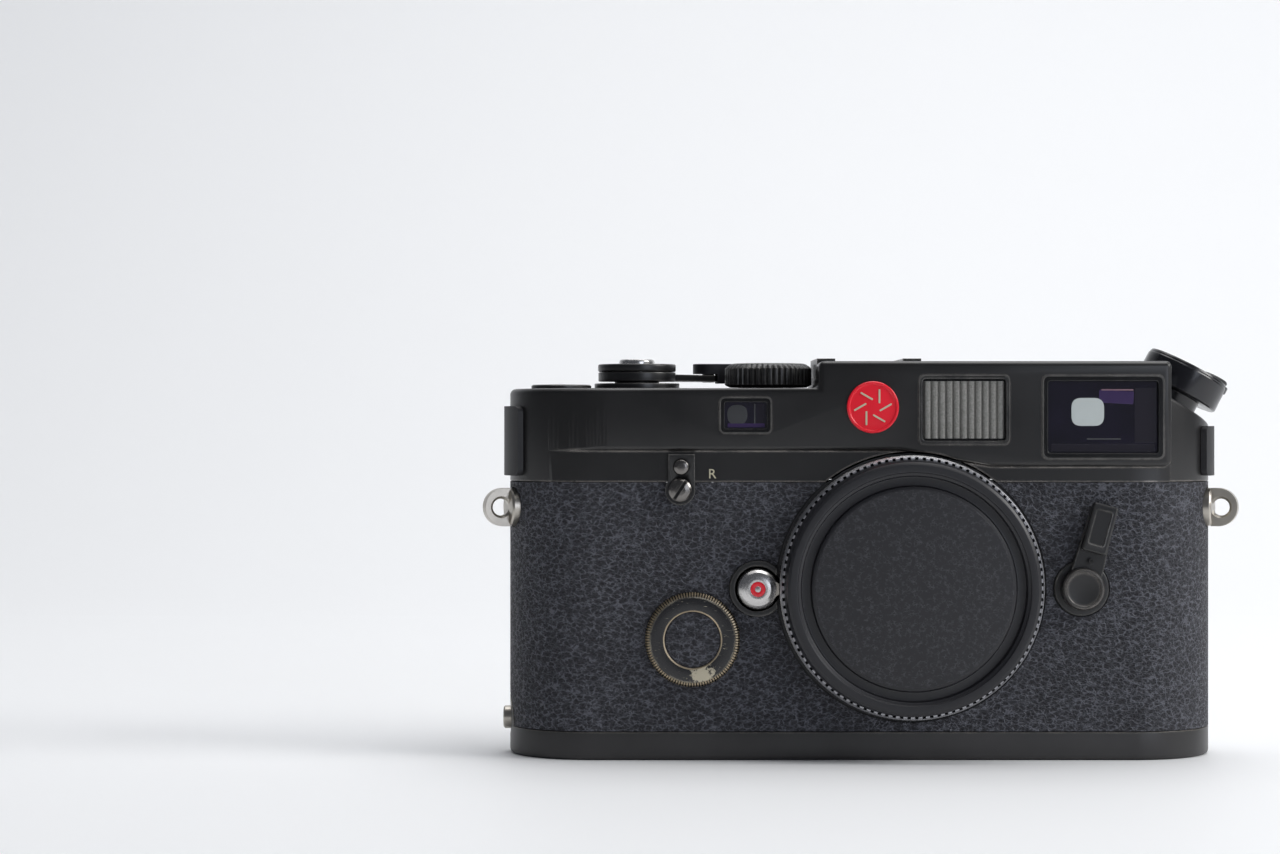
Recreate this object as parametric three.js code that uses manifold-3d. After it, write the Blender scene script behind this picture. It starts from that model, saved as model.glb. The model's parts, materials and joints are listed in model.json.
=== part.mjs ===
// Rangefinder camera without a lens, modelled as an assembly of separate pieces.
// Millimetres, +Z up. The front faces -Y, so +X is on the right of someone who looks at the front.
// The origin is on the underside of the base plate, in the middle of the body.
import * as THREE from "three";
import { mergeVertices } from "three/addons/utils/BufferGeometryUtils.js";
import Module from "manifold-3d";

const wasm = await Module();
wasm.setup();

// Body: a stadium in plan, 138 wide over the round ends.
const HALF_WIDTH = 69;
const HALF_DEPTH = 16.75;
const END_X = HALF_WIDTH - HALF_DEPTH;
const SKIN = 0.6;
const WALL = 1.5;
const GAP = 0.1;

// Heights above the table.
const BASE_TOP = 5.5;
const BODY_TOP = 53.6;
const DECK_TOP = 71.7;
const HUMP_TOP = 76.9;
const PANEL_BOTTOM_LEFT = 59.7;
const PANEL_BOTTOM_RIGHT = 56.6;

// Top cover.
const COVER_WALL = 1.3;
const PANEL_PROUD = 1.2;
const PANEL_FRONT = -HALF_DEPTH - PANEL_PROUD;
const PANEL_START_DEG = 54;
const PANEL_FLAT_LEFT = -49;
const HUMP_LEFT = -8.9;
const HUMP_RIGHT = 59;

// Lens mount.
const LENS_X = 8.86;
const LENS_Z = 33.36;
const FLANGE_R = 25.4;
const THROAT_R = 21.9;
const FLANGE_FRONT = -19.6;
const CAP_R = 25.25;
const CAP_FRONT = -25;
const MOUNT_ROOM_R = FLANGE_R + 0.7;

// Film path, measured back from the flange.
const FILM_Y = FLANGE_FRONT + 27.8;
const GATE_WIDE = 36;
const GATE_HIGH = 24;
const CEILING = 49;
const CASSETTE_X = 53.9;
const PARTITION_LEFT = -33.5;
const PARTITION_RIGHT = 38.6;
const SHAFT_ROOM_R = 2.4;
const SPOOL_X = -56.6;
const SPOOL_Y = -3;
const CURTAIN_X = -17.2;
const CURTAIN_Y = 1.2;

// Back door.
const DOOR_LEFT = -45.7;
const DOOR_RIGHT = 29.7;
const DOOR_BOTTOM = 7.3;
const DOOR_TOP = 51;
const DOOR_INNER = 14.9;
const HINGE_Y = 16;
const HINGE_Z = 51.9;
const FILM_DIAL_X = LENS_X - 17;
const FILM_DIAL_Z = 29.5;
const FILM_DIAL_R = 16.6;

// Advance lever and the controls on the deck.
const HUB_X = -43.9;
const LEVER_BOTTOM = 73.2;
const LEVER_TOP = 75;
const TIP_X = -29.5;
const TIP_Y = 12;
const COUNTER_X = -58.8;
const COUNTER_Y = -3;
const DIAL_X = -17.9;
const DIAL_R = 8.6;
const SHOE_X = 1.5;
const SHOE_OPEN = 6.6;
const SHOE_BACK = 14;

// Rewind knob, on an axis that leans to the right.
const KNOB_TILT = THREE.MathUtils.degToRad(28);
const KNOB_R = 8.45;
const SHOULDER_X = 61.58;
const SHOULDER_Z = 68.62;
const SCOOP_R = 9.2;
const GEAR_R = 4.4;

// Controls on the front.
const RELEASE_X = -20.7;
const RELEASE_Z = 33.1;
const BATTERY_X = -33.2;
const BATTERY_Z = 23.3;
const SELECTOR_X = 41.7;
const SELECTOR_Z = 33.1;
const REWIND_LEVER_X = -35.6;
const REWIND_LEVER_Z = 52.06;
const RELEASE_GUARD_R = 5.4;
const SELECTOR_SEAT_R = 5.3;
const BATTERY_R = 9;
const BADGE_X = 1.4;
const BADGE_Z = 68;

// Windows.
const RANGE_WINDOW = { x: -23, z: 66.45, w: 10, h: 7 };
const LIGHT_WINDOW = { x: 19, z: 67.5, w: 17.5, h: 13.4 };
const VIEW_WINDOW = { x: 45.7, z: 66.1, w: 23.4, h: 16.1 };
const EYEPIECE_X = 52;
const EYEPIECE_Z = 66;

// Strap guards, lugs and base plate fittings.
const LUG_SIDES = [["left", -1], ["right", 1]];
const LUG_TURN = THREE.MathUtils.degToRad(18);
const GUARD_HALF_DEG = 16;
const GUARD_R = HALF_DEPTH + 1.2;
const LUG_Z = 48.5;
const LUG_R = 3.75;
const STUD_Z = 6.8;
const KEY_X = 45;
const KEY_R = 8.6;
const TRIPOD_X = -45;
const TRIPOD_BUSH_R = 6.3;

const camera = new THREE.Group();

function paint(color, roughness, metalness) {
  return new THREE.MeshStandardMaterial({ color, roughness, metalness });
}

const BLACK_METAL = paint("#2b2b2d", 0.4, 0.8);
const LEATHER = paint("#2c2e35", 0.75, 0);
const BLACK_PLASTIC = paint("#1c1c20", 0.5, 0);
const CHROME = paint("#b9b6b1", 0.25, 1);
const DARK_STEEL = paint("#4a494b", 0.35, 1);
const GREY_CAST = paint("#3a3b3e", 0.7, 0.6);
const BRASS = paint("#a98a4e", 0.35, 1);
const GLASS = paint("#1c1a26", 0.08, 0);
const FROSTED = paint("#76766c", 0.45, 0);
const RED_ENAMEL = paint("#e01b24", 0.3, 0);
const BOARD_GREEN = paint("#2f5d3a", 0.6, 0);
const CURTAIN_CLOTH = paint("#17171a", 0.9, 0);

// Merges shared points, drops triangles without area and turns the faces outward.
function closed(geometry) {
  const bare = geometry.clone();
  bare.deleteAttribute("normal");
  bare.deleteAttribute("uv");
  const merged = mergeVertices(bare, 1e-4);
  const at = merged.attributes.position;
  const faces = [];
  let volume = 0;
  const corners = [new THREE.Vector3(), new THREE.Vector3(), new THREE.Vector3()];
  for (let i = 0; i < merged.index.count; i += 3) {
    const ids = [0, 1, 2].map((k) => merged.index.getX(i + k));
    if (ids[0] === ids[1] || ids[1] === ids[2] || ids[2] === ids[0]) continue;
    ids.forEach((id, k) => corners[k].fromBufferAttribute(at, id));
    volume += corners[0].dot(corners[1].clone().cross(corners[2]));
    faces.push(...ids);
  }
  if (volume < 0) {
    faces.reverse();
  }
  return new wasm.Manifold(new wasm.Mesh({
    numProp: 3,
    vertProperties: new Float32Array(at.array),
    triVerts: new Uint32Array(faces),
  }));
}

function geometryOf(body) {
  const made = body.getMesh();
  const geometry = new THREE.BufferGeometry();
  geometry.setAttribute("position", new THREE.BufferAttribute(made.vertProperties, 3));
  geometry.setIndex(new THREE.BufferAttribute(made.triVerts, 1));
  return geometry;
}

function join(...parts) {
  return geometryOf(parts.map(closed).reduce((whole, part) => whole.add(part)));
}

function cut(base, ...tools) {
  return geometryOf(tools.map(closed).reduce((whole, tool) => whole.subtract(tool), closed(base)));
}

function overlap(a, b) {
  return geometryOf(closed(a).intersect(closed(b)));
}

// Box given by its two limits along each axis.
function box(x0, x1, y0, y1, z0, z1) {
  return new THREE.BoxGeometry(x1 - x0, y1 - y0, z1 - z0)
    .translate((x0 + x1) / 2, (y0 + y1) / 2, (z0 + z1) / 2);
}

// Outline drawn in X and Y, raised from z0 to z1.
function upright(shape, z0, z1, curveSegments = 10) {
  return new THREE.ExtrudeGeometry(shape, { depth: z1 - z0, bevelEnabled: false, curveSegments })
    .translate(0, 0, z0);
}

// Outline drawn in X and Z, carried from y0 back to y1.
function facing(shape, y0, y1, curveSegments = 5) {
  return new THREE.ExtrudeGeometry(shape, { depth: y1 - y0, bevelEnabled: false, curveSegments })
    .rotateX(Math.PI / 2)
    .translate(0, y1, 0);
}

// Profile of [radius, height] turned about an upright line.
function turnedUp(profile, x = 0, y = 0, segments = 20) {
  return new THREE.LatheGeometry(profile.map(([r, z]) => new THREE.Vector2(r, z)), segments)
    .rotateX(Math.PI / 2)
    .translate(x, y, 0);
}

// Profile of [radius, y] turned about a line that runs front to back.
function turnedBack(profile, x, z, segments = 20) {
  return new THREE.LatheGeometry(profile.map(([r, y]) => new THREE.Vector2(r, y)), segments)
    .translate(x, 0, z);
}

function post(r, z0, z1, x = 0, y = 0, segments = 20) {
  return turnedUp([[0, z0], [r, z0], [r, z1], [0, z1]], x, y, segments);
}

function drum(r, y0, y1, x, z, segments = 20) {
  return turnedBack([[0, y0], [r, y0], [r, y1], [0, y1]], x, z, segments);
}

// Cylinder along X.
function bar(r, x0, x1, y, z, segments = 12) {
  return new THREE.CylinderGeometry(r, r, x1 - x0, segments)
    .rotateZ(Math.PI / 2)
    .translate((x0 + x1) / 2, y, z);
}

// Plan of the body, pushed in by the given amount.
function stadium(inset = 0) {
  const r = HALF_DEPTH - inset;
  return new THREE.Shape()
    .absarc(END_X, 0, r, -Math.PI / 2, Math.PI / 2, false)
    .absarc(-END_X, 0, r, Math.PI / 2, Math.PI * 1.5, false);
}

function roundedRect(w, h, r, x = 0, z = 0) {
  const right = x + w / 2 - r;
  const left = x - w / 2 + r;
  const top = z + h / 2 - r;
  const bottom = z - h / 2 + r;
  return new THREE.Shape()
    .absarc(right, bottom, r, -Math.PI / 2, 0, false)
    .absarc(right, top, r, 0, Math.PI / 2, false)
    .absarc(left, top, r, Math.PI / 2, Math.PI, false)
    .absarc(left, bottom, r, Math.PI, Math.PI * 1.5, false);
}

// Knurled outline: a ridge and a valley in turn.
function knurled(outer, inner, ridges) {
  const corners = Array.from({ length: 2 * ridges }, (_, i) => {
    const r = i % 2 ? inner : outer;
    const a = (i / ridges) * Math.PI;
    return new THREE.Vector2(r * Math.cos(a), r * Math.sin(a));
  });
  return new THREE.Shape(corners);
}

function add(name, geometry, material, parent = camera) {
  const mesh = new THREE.Mesh(geometryOf(closed(geometry)), material);
  mesh.name = name;
  parent.add(mesh);
  return mesh;
}

// ---------------------------------------------------------------- body casting

// Film gate wall with its 36 by 24 opening, between the two partitions.
function filmGateWall() {
  const wall = box(PARTITION_LEFT, PARTITION_RIGHT + WALL, FILM_Y - WALL, FILM_Y, BASE_TOP + GAP, CEILING);
  const wide = GATE_WIDE / 2;
  const high = GATE_HIGH / 2;
  const gate = box(LENS_X - wide, LENS_X + wide, 0, HALF_DEPTH, LENS_Z - high, LENS_Z + high);
  return cut(wall, gate);
}

function mountBoss() {
  return drum(FLANGE_R + 0.4, -HALF_DEPTH, -HALF_DEPTH + SKIN + WALL, LENS_X, LENS_Z, 36);
}

function bodyShell() {
  const bottom = BASE_TOP + GAP;
  const top = BODY_TOP - GAP;
  const inner = SKIN + WALL;
  const ring = cut(upright(stadium(SKIN), bottom, top), upright(stadium(inner), 0, HUMP_TOP));
  const ceiling = upright(stadium(inner - 0.2), CEILING, CEILING + WALL);
  const partitions = [PARTITION_LEFT, PARTITION_RIGHT].map((x) =>
    box(x, x + WALL, -HALF_DEPTH + inner - 0.2, FILM_Y, bottom, CEILING + 0.2));
  const selectorSeat = drum(SELECTOR_SEAT_R, -HALF_DEPTH, -HALF_DEPTH + inner, SELECTOR_X, SELECTOR_Z, 18);
  const solid = join(ring, ceiling, mountBoss(), selectorSeat, filmGateWall(), ...partitions);
  const hinge = bar(0.78, DOOR_LEFT, DOOR_RIGHT, HINGE_Y, HINGE_Z);
  const slots = hingeSpans(0.3).map(([x0, x1]) => box(x0, x1, 14.2, HALF_DEPTH, 50.2, 53.3));
  return cut(
    solid,
    drum(THROAT_R, -20, -1, LENS_X, LENS_Z, 36),
    box(DOOR_LEFT - 0.3, DOOR_RIGHT + 0.3, 14.4, 20, DOOR_BOTTOM - 0.3, DOOR_TOP + 0.3),
    hinge,
    ...slots,
    drum(4.6, -20, -13, RELEASE_X, RELEASE_Z, 16),
    drum(6.8, -20, -5, BATTERY_X, BATTERY_Z),
    drum(1.7, -20, -13, SELECTOR_X, SELECTOR_Z, 16),
    drum(1.4, -20, -13, REWIND_LEVER_X, REWIND_LEVER_Z, 16),
    ...LUG_SIDES.map(([, sign]) => atLug(bar(LUG_R + GAP, HALF_WIDTH - 1.9, 80, 0, LUG_Z, 16), sign)),
    cut(bar(5.7, -80, -60, 0, STUD_Z - 0.8, 18), upright(stadium(1.5), 0, 60)),
    bar(1.3, -80, -60, 0, STUD_Z, 16),
    post(SHAFT_ROOM_R, CEILING - 1, BODY_TOP, CASSETTE_X, 0, 14),
    post(SHAFT_ROOM_R, CEILING - 1, BODY_TOP, HUB_X, 0, 14),
    post(1.5, CEILING - 1, BODY_TOP, CURTAIN_X, CURTAIN_Y, 16),
  );
}

// Carries a shape drawn at the right end to the place of a lug, forward of the middle of that end.
function atLug(shape, sign) {
  return shape
    .translate(-END_X, 0, 0)
    .rotateZ(-sign * LUG_TURN)
    .translate(END_X, 0, 0)
    .rotateZ(sign < 0 ? Math.PI : 0);
}

// The door's knuckles, as spans along the pin.
function hingeSpans(extra = 0) {
  const length = 9;
  return [DOOR_LEFT + 8, DOOR_RIGHT - 8 - length].map((x) => [x - extra, x + length + extra]);
}

add("body_shell", bodyShell(), GREY_CAST);

function leatherCovering() {
  const skin = cut(
    upright(stadium(), BASE_TOP + GAP, BODY_TOP - GAP),
    upright(stadium(SKIN), 0, HUMP_TOP),
    drum(MOUNT_ROOM_R, -20, 0, LENS_X, LENS_Z, 36),
    box(DOOR_LEFT - 0.3, DOOR_RIGHT + 0.3, 5, 20, 0, HUMP_TOP),
    drum(RELEASE_GUARD_R + GAP, -20, -10, RELEASE_X, RELEASE_Z),
    drum(BATTERY_R + 0.2, -20, -10, BATTERY_X, BATTERY_Z),
    drum(SELECTOR_SEAT_R + 0.2, -20, -10, SELECTOR_X, SELECTOR_Z, 16),
    drum(1.6, -20, -10, REWIND_LEVER_X, REWIND_LEVER_Z, 16),
    ...LUG_SIDES.map(([, sign]) => atLug(bar(LUG_R + 0.15, 60, 80, 0, LUG_Z, 16), sign)),
    bar(5.9, -80, -55, 0, STUD_Z - 0.8, 16),
  );
  return skin;
}

add("leather_covering", leatherCovering(), LEATHER);

// ---------------------------------------------------------------- top cover

// Everything above the plane square to the rewind axis, offset along it, right of x0.
function aboveShoulder(x0, drop) {
  const block = box(-20, 30, -30, 30, 0, 40)
    .rotateY(KNOB_TILT)
    .translate(SHOULDER_X - drop * Math.sin(KNOB_TILT), 0, SHOULDER_Z - drop * Math.cos(KNOB_TILT));
  return overlap(block, box(x0, 100, -40, 40, 40, 120));
}

function leaning(profile, segments = 18) {
  return turnedUp(profile, 0, 0, segments)
    .rotateY(KNOB_TILT)
    .translate(SHOULDER_X, 0, SHOULDER_Z);
}

// Front panel: it leaves the round end in a smooth curve, and its lower edge steps down past the mount.
function frontPanel() {
  const start = THREE.MathUtils.degToRad(PANEL_START_DEG);
  const startX = -END_X - HALF_DEPTH * Math.cos(start);
  const startY = -HALF_DEPTH * Math.sin(start);
  const run = (startY - PANEL_FRONT) / Math.cos(start);
  const plan = new THREE.Shape()
    .moveTo(startX, startY)
    .quadraticCurveTo(startX + run * Math.sin(start), PANEL_FRONT, PANEL_FLAT_LEFT, PANEL_FRONT)
    .lineTo(HUMP_RIGHT, PANEL_FRONT)
    .lineTo(HUMP_RIGHT, -HALF_DEPTH + COVER_WALL)
    .lineTo(-END_X, -HALF_DEPTH + COVER_WALL);
  const front = new THREE.Shape()
    .moveTo(-HALF_WIDTH, PANEL_BOTTOM_LEFT)
    .lineTo(7, PANEL_BOTTOM_LEFT)
    .lineTo(24, PANEL_BOTTOM_RIGHT)
    .lineTo(HUMP_RIGHT + 1, PANEL_BOTTOM_RIGHT)
    .lineTo(HUMP_RIGHT + 1, HUMP_TOP)
    .lineTo(HUMP_LEFT, HUMP_TOP)
    .lineTo(HUMP_LEFT, DECK_TOP)
    .lineTo(-HALF_WIDTH, DECK_TOP);
  return overlap(upright(plan, BODY_TOP, HUMP_TOP, 6), facing(front, PANEL_FRONT - 1, 0));
}

function windowHole({ x, z, w, h }, margin, y0, y1) {
  return facing(roundedRect(w + margin, h + margin, 1, x, z), y0, y1, 3);
}

// The clear opening inside a frame of the given rim.
function windowOpening({ x, z, w, h }, rim) {
  return facing(roundedRect(w - rim, h - rim, 0.6, x, z), -30, 0, 3);
}

function topCover() {
  const shell = cut(
    upright(stadium(), BODY_TOP, HUMP_TOP),
    box(-80, HUMP_LEFT, -20, 20, DECK_TOP, 90),
    aboveShoulder(HUMP_RIGHT, 0),
  );
  const cavity = cut(
    upright(stadium(COVER_WALL), 50, HUMP_TOP - COVER_WALL),
    box(-80, HUMP_LEFT + COVER_WALL, -20, 20, DECK_TOP - COVER_WALL, 90),
    aboveShoulder(HUMP_RIGHT - COVER_WALL, COVER_WALL),
  );
  const scoopWall = overlap(
    overlap(leaning([[0, -COVER_WALL], [SCOOP_R + 1.2, -COVER_WALL], [SCOOP_R + 1.2, 30], [0, 30]]), shell),
    box(40, 80, -20, 20, 50, 90),
  );
  const shoeFloor = box(SHOE_X - 11.2, SHOE_X + 11.2, -9.2, HALF_DEPTH, 72.4, HUMP_TOP);
  const lightRim = windowHole(LIGHT_WINDOW, 0, PANEL_FRONT - 0.3, -15.6);
  const solid = join(
    cut(join(shell, frontPanel(), lightRim), cavity),
    scoopWall,
    overlap(shoeFloor, shell),
  );
  return cut(
    solid,
    drum(MOUNT_ROOM_R, -20, -14, LENS_X, LENS_Z, 36),
    leaning([[0, 0], [SCOOP_R, 0], [SCOOP_R, 30], [0, 30]]),
    leaning([[0, -10], [2.5, -10], [2.5, 1], [0, 1]], 14),
    box(SHOE_X - 10.4, SHOE_X + 10.4, -8, 20, 73.8, 90),
    windowHole(RANGE_WINDOW, 0.1, -20, -14),
    windowOpening(LIGHT_WINDOW, 2),
    windowHole(VIEW_WINDOW, 0.1, -20, -14),
    drum(5.2, 14, 20, EYEPIECE_X, EYEPIECE_Z, 16),
    ...socketCentres().map((x) => drum(2.6, 14, 20, x, 63, 16)),
    post(4.6, 68, 80, HUB_X, 0, 16),
    post(SHAFT_ROOM_R, 68, 80, DIAL_X, 0, 14),
    post(4.9, 68, 80, COUNTER_X, COUNTER_Y, 16),
  );
}

function socketCentres() {
  return [6, 19];
}

add("top_cover", topCover(), BLACK_METAL);

// Window frames stand 0.3 proud of the panel; each glass lies 0.8 behind its frame.
function windowFrame(hole, rim) {
  const outer = windowHole(hole, 0, PANEL_FRONT - 0.3, -15.6);
  return cut(outer, windowOpening(hole, rim));
}

function windowGlass(hole, rim) {
  return facing(roundedRect(hole.w - rim - 0.05, hole.h - rim - 0.05, 0.6, hole.x, hole.z), -17.4, -16, 3);
}

add("rangefinder_window_frame", windowFrame(RANGE_WINDOW, 1.6), BLACK_PLASTIC);
add("rangefinder_window_glass", windowGlass(RANGE_WINDOW, 1.6), GLASS);

// Frosted window with upright ridges, which lights the frame lines.
function illuminationWindow() {
  const pane = windowGlass(LIGHT_WINDOW, 2);
  const pitch = 1.7;
  const reach = 5.4;
  const ridges = [-4, -3, -2, -1, 0, 1, 2, 3, 4].map((i) => {
    const x = LIGHT_WINDOW.x + i * pitch;
    return box(x - 0.55, x + 0.55, -17.8, -17, LIGHT_WINDOW.z - reach, LIGHT_WINDOW.z + reach);
  });
  return join(pane, ...ridges);
}

add("illumination_window", illuminationWindow(), FROSTED);
add("viewfinder_frame", windowFrame(VIEW_WINDOW, 2.2), BLACK_PLASTIC);
add("viewfinder_glass", windowGlass(VIEW_WINDOW, 2.2), GLASS);

// Round enamel badge with a plain six-bladed iris motif in low relief.
function badge() {
  const blades = [0, 1, 2, 3, 4, 5].map((i) =>
    box(-0.18, 0.18, PANEL_FRONT - 0.85, PANEL_FRONT - 0.4, 0.9, 3.6)
      .translate(1.25, 0, 0)
      .rotateY((i * Math.PI) / 3)
      .translate(BADGE_X, 0, BADGE_Z));
  const disc = turnedBack(
    [[0, PANEL_FRONT], [5, PANEL_FRONT], [5, PANEL_FRONT - 0.8], [4.5, PANEL_FRONT - 0.8],
      [4.4, PANEL_FRONT - 0.6], [0, PANEL_FRONT - 0.6]],
    BADGE_X, BADGE_Z,
  );
  return join(disc, ...blades);
}

add("badge", badge(), RED_ENAMEL);

// Eyepiece ring and lens on the back.
add("eyepiece_frame", turnedBack(
  [[4.5, 15], [5, 15], [5, HALF_DEPTH], [7.5, HALF_DEPTH], [7.5, 18.4], [5.2, 18.4],
    [4.5, 17.7], [4.5, 15]],
  EYEPIECE_X, EYEPIECE_Z,
), BLACK_METAL);
add("eyepiece_lens", drum(4.4, 15.2, 17, EYEPIECE_X, EYEPIECE_Z, 16), GLASS);

socketCentres().forEach((x, i) => {
  add(`flash_socket_${i + 1}`, turnedBack(
    [[0, 12.5], [2.4, 12.5], [2.4, HALF_DEPTH], [3.4, HALF_DEPTH], [3.4, 17.6], [1.8, 17.6],
      [1.8, 14], [0, 14]],
    x, 63, 16,
  ), CHROME);
});

// Accessory shoe: a channel with lips, and the insulated contact under it.
function hotShoe() {
  const channel = box(SHOE_X - 10.2, SHOE_X + 10.2, -7.8, SHOE_BACK, 73.9, 77.6);
  return cut(
    channel,
    box(SHOE_X - 9.4, SHOE_X + 9.4, -7, 20, 74.7, 76.8),
    box(SHOE_X - SHOE_OPEN, SHOE_X + SHOE_OPEN, -20, 20, 74.7, 90),
    post(4.2, 70, 75, SHOE_X, 3.5, 16),
  );
}

add("hot_shoe", hotShoe(), BLACK_METAL);
add("hot_shoe_contact", turnedUp(
  [[0, 73.9], [4, 73.9], [4, 74.6], [1.2, 74.6], [1, 74.9], [0, 74.9]],
  SHOE_X, 3.5, 16,
), BLACK_PLASTIC);

// ---------------------------------------------------------------- finder and meter

// C-shaped optical block: eyepiece arm, beam splitter and the two arms behind the windows.
function finderBlock() {
  return join(
    box(14, 48, -7, 12, 58, 70.5),
    box(37, 53, -15, -6.5, 59, 70),
    box(12, 27, -15, -6.5, 61, 71.5),
    box(47, 56, 6.5, 14.8, 61, 69),
  );
}

add("finder_block", finderBlock(), BLACK_PLASTIC);

function rangefinderPrism() {
  const plan = new THREE.Shape()
    .moveTo(-28, -15)
    .lineTo(-18, -15)
    .lineTo(-18, -5)
    .lineTo(-20, -5)
    .lineTo(-28, -13);
  return upright(plan, 62.5, 69.8);
}

add("rangefinder_prism", rangefinderPrism(), GLASS);

function meterBoard() {
  const chips = [-26, -12, 0].map((x) => box(x, x + 6, 7, 12, 56.9, 58.4));
  return join(box(-32, 11, 4.5, 14.5, 56, 57), ...chips);
}

add("meter_board", meterBoard(), BOARD_GREEN);

// Arm that follows the lens cam: from its upright pivot in the cover down to the roller in the throat.
function rollerArm() {
  const arm = box(6.2, 11.5, -12, -10.6, 50.6, 57);
  const crank = box(6.2, 20, -12, -10.6, 55.6, 58);
  const roller = new THREE.CylinderGeometry(2.2, 2.2, 2.4, 14)
    .rotateX(Math.PI / 2)
    .translate(LENS_X, -11.9, 50.8);
  return join(arm, crank, roller, post(1.6, 55, 58.6, 18.5, -11.3, 14));
}

add("rangefinder_roller_arm", rollerArm(), DARK_STEEL);

// ---------------------------------------------------------------- lens mount

// Bayonet flange with three inward lugs.
function lensFlange() {
  const ring = turnedBack(
    [[THROAT_R, -HALF_DEPTH], [FLANGE_R, -HALF_DEPTH], [FLANGE_R, FLANGE_FRONT],
      [THROAT_R, FLANGE_FRONT], [THROAT_R, -HALF_DEPTH]],
    LENS_X, LENS_Z, 40,
  );
  const inner = drum(20.4, -30, 0, 0, 0, 36);
  const lip = drum(THROAT_R + 0.4, FLANGE_FRONT, FLANGE_FRONT + 1.4, 0, 0, 36);
  const wedge = cut(overlap(lip, box(-9, 9, -30, 0, 10, 30)), inner);
  const lugs = [0, 1, 2].map((i) =>
    wedge.clone().rotateY((i * 2 * Math.PI) / 3 + 0.5).translate(LENS_X, 0, LENS_Z));
  return join(ring, ...lugs);
}

add("lens_mount_flange", lensFlange(), CHROME);

// Body cap: dished front, a wider rim at the flange and a plain spigot in the throat.
function bodyCap() {
  const back = FLANGE_FRONT - 0.15;
  return turnedBack(
    [[0, back], [18.6, back], [18.6, -16.6], [19.8, -16.6], [19.8, back], [CAP_R, back], [CAP_R, back - 1.6],
      [24.6, back - 1.6], [24, CAP_FRONT], [21.7, CAP_FRONT], [21.3, CAP_FRONT + 1.9],
      [19.7, CAP_FRONT + 1.9], [19.4, CAP_FRONT + 0.9], [0, CAP_FRONT + 0.9]],
    LENS_X, LENS_Z, 36,
  );
}

add("body_cap", bodyCap(), BLACK_PLASTIC);

add("lens_release_guard", cut(
  turnedBack(
    [[4.3, -15.5], [4.5, -15.5], [4.5, -16.15], [RELEASE_GUARD_R, -16.15], [RELEASE_GUARD_R, -18],
      [4.3, -18], [4.3, -15.5]],
    RELEASE_X, RELEASE_Z,
  ),
  drum(MOUNT_ROOM_R, -20, 0, LENS_X, LENS_Z, 36),
), BLACK_METAL);
add("lens_release_button", turnedBack(
  [[0, -13], [3.9, -13], [3.9, -19.6], [0, -20.1]],
  RELEASE_X, RELEASE_Z, 18,
), CHROME);

// ---------------------------------------------------------------- battery

add("battery_cover", turnedBack(
  [[0, -17.8], [5.5, -17.8], [5.5, -18.4], [BATTERY_R - 0.5, -18.4], [BATTERY_R, -17.8],
    [BATTERY_R, -16.4], [6.4, -16.4], [6.4, -14.8], [5.9, -14.8], [5.9, -17], [0, -17]],
  BATTERY_X, BATTERY_Z, 30,
), BLACK_METAL);
add("battery_cover_leather", drum(5.3, -18.3, -17.85, BATTERY_X, BATTERY_Z), LEATHER);
add("battery_cell", turnedBack(
  [[0, -16.9], [5.75, -16.9], [5.75, -6.9], [4.4, -6.9], [4.4, -6.7], [0, -6.7]],
  BATTERY_X, BATTERY_Z,
), CHROME);
add("battery_chamber", turnedBack(
  [[0, -6.4], [6, -6.4], [6, -14.6], [6.6, -14.6], [6.6, -5.8], [0, -5.8]],
  BATTERY_X, BATTERY_Z,
), BLACK_PLASTIC);

// ---------------------------------------------------------------- front levers

// Rewind release: a short plate with a round lower end on a slotted screw, and a round knob above.
function rewindReleaseLever() {
  const end = drum(2.9, -17.9, -17.1, REWIND_LEVER_X, REWIND_LEVER_Z, 24);
  const blade = box(REWIND_LEVER_X - 2.25, REWIND_LEVER_X + 2.85, -17.9, -17.1, REWIND_LEVER_Z, 59);
  const knob = turnedBack([[0, -17.5], [1.6, -17.5], [1.6, -19.2], [0, -19.2]], -35.4, 56.5, 14);
  return cut(join(end, blade, knob), drum(1.5, -20, -10, REWIND_LEVER_X, REWIND_LEVER_Z, 16));
}

add("rewind_release_lever", rewindReleaseLever(), BLACK_METAL);
add("rewind_release_screw", cut(
  turnedBack(
    [[0, -14], [1.25, -14], [1.25, -18], [2.25, -18], [2.25, -18.9], [0, -18.9]],
    REWIND_LEVER_X, REWIND_LEVER_Z, 16,
  ),
  box(-3, 3, -20, -18.4, -0.3, 0.3).rotateY(-1).translate(REWIND_LEVER_X, 0, REWIND_LEVER_Z),
), DARK_STEEL);

// Frame selector: boss, tapering arm and a finger pad, leaning away from the lens at rest.
function frameSelector() {
  const arm = new THREE.Shape()
    .moveTo(-3.2, 2)
    .lineTo(3.2, 2)
    .lineTo(2.45, 16.2)
    .lineTo(-2.45, 16.2);
  const pad = roundedRect(4.9, 9.5, 0.5, 0, 12);
  const dish = roundedRect(3.1, 6.8, 0.4, 0, 12.2);
  const raised = cut(facing(pad, -20.2, -18.4, 3), facing(dish, -21, -19.7, 3));
  const boss = turnedBack(
    [[0, -14.9], [1.5, -14.9], [1.5, -16.8], [4.1, -16.8], [4.1, -20.4], [0, -20.4]],
    0, 0, 18,
  );
  return join(facing(arm, -18.6, -17.4), raised, boss)
    .rotateY(THREE.MathUtils.degToRad(15))
    .translate(SELECTOR_X, 0, SELECTOR_Z);
}

add("frame_selector_lever", frameSelector(), BLACK_METAL);

// ---------------------------------------------------------------- strap lugs and guards

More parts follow.
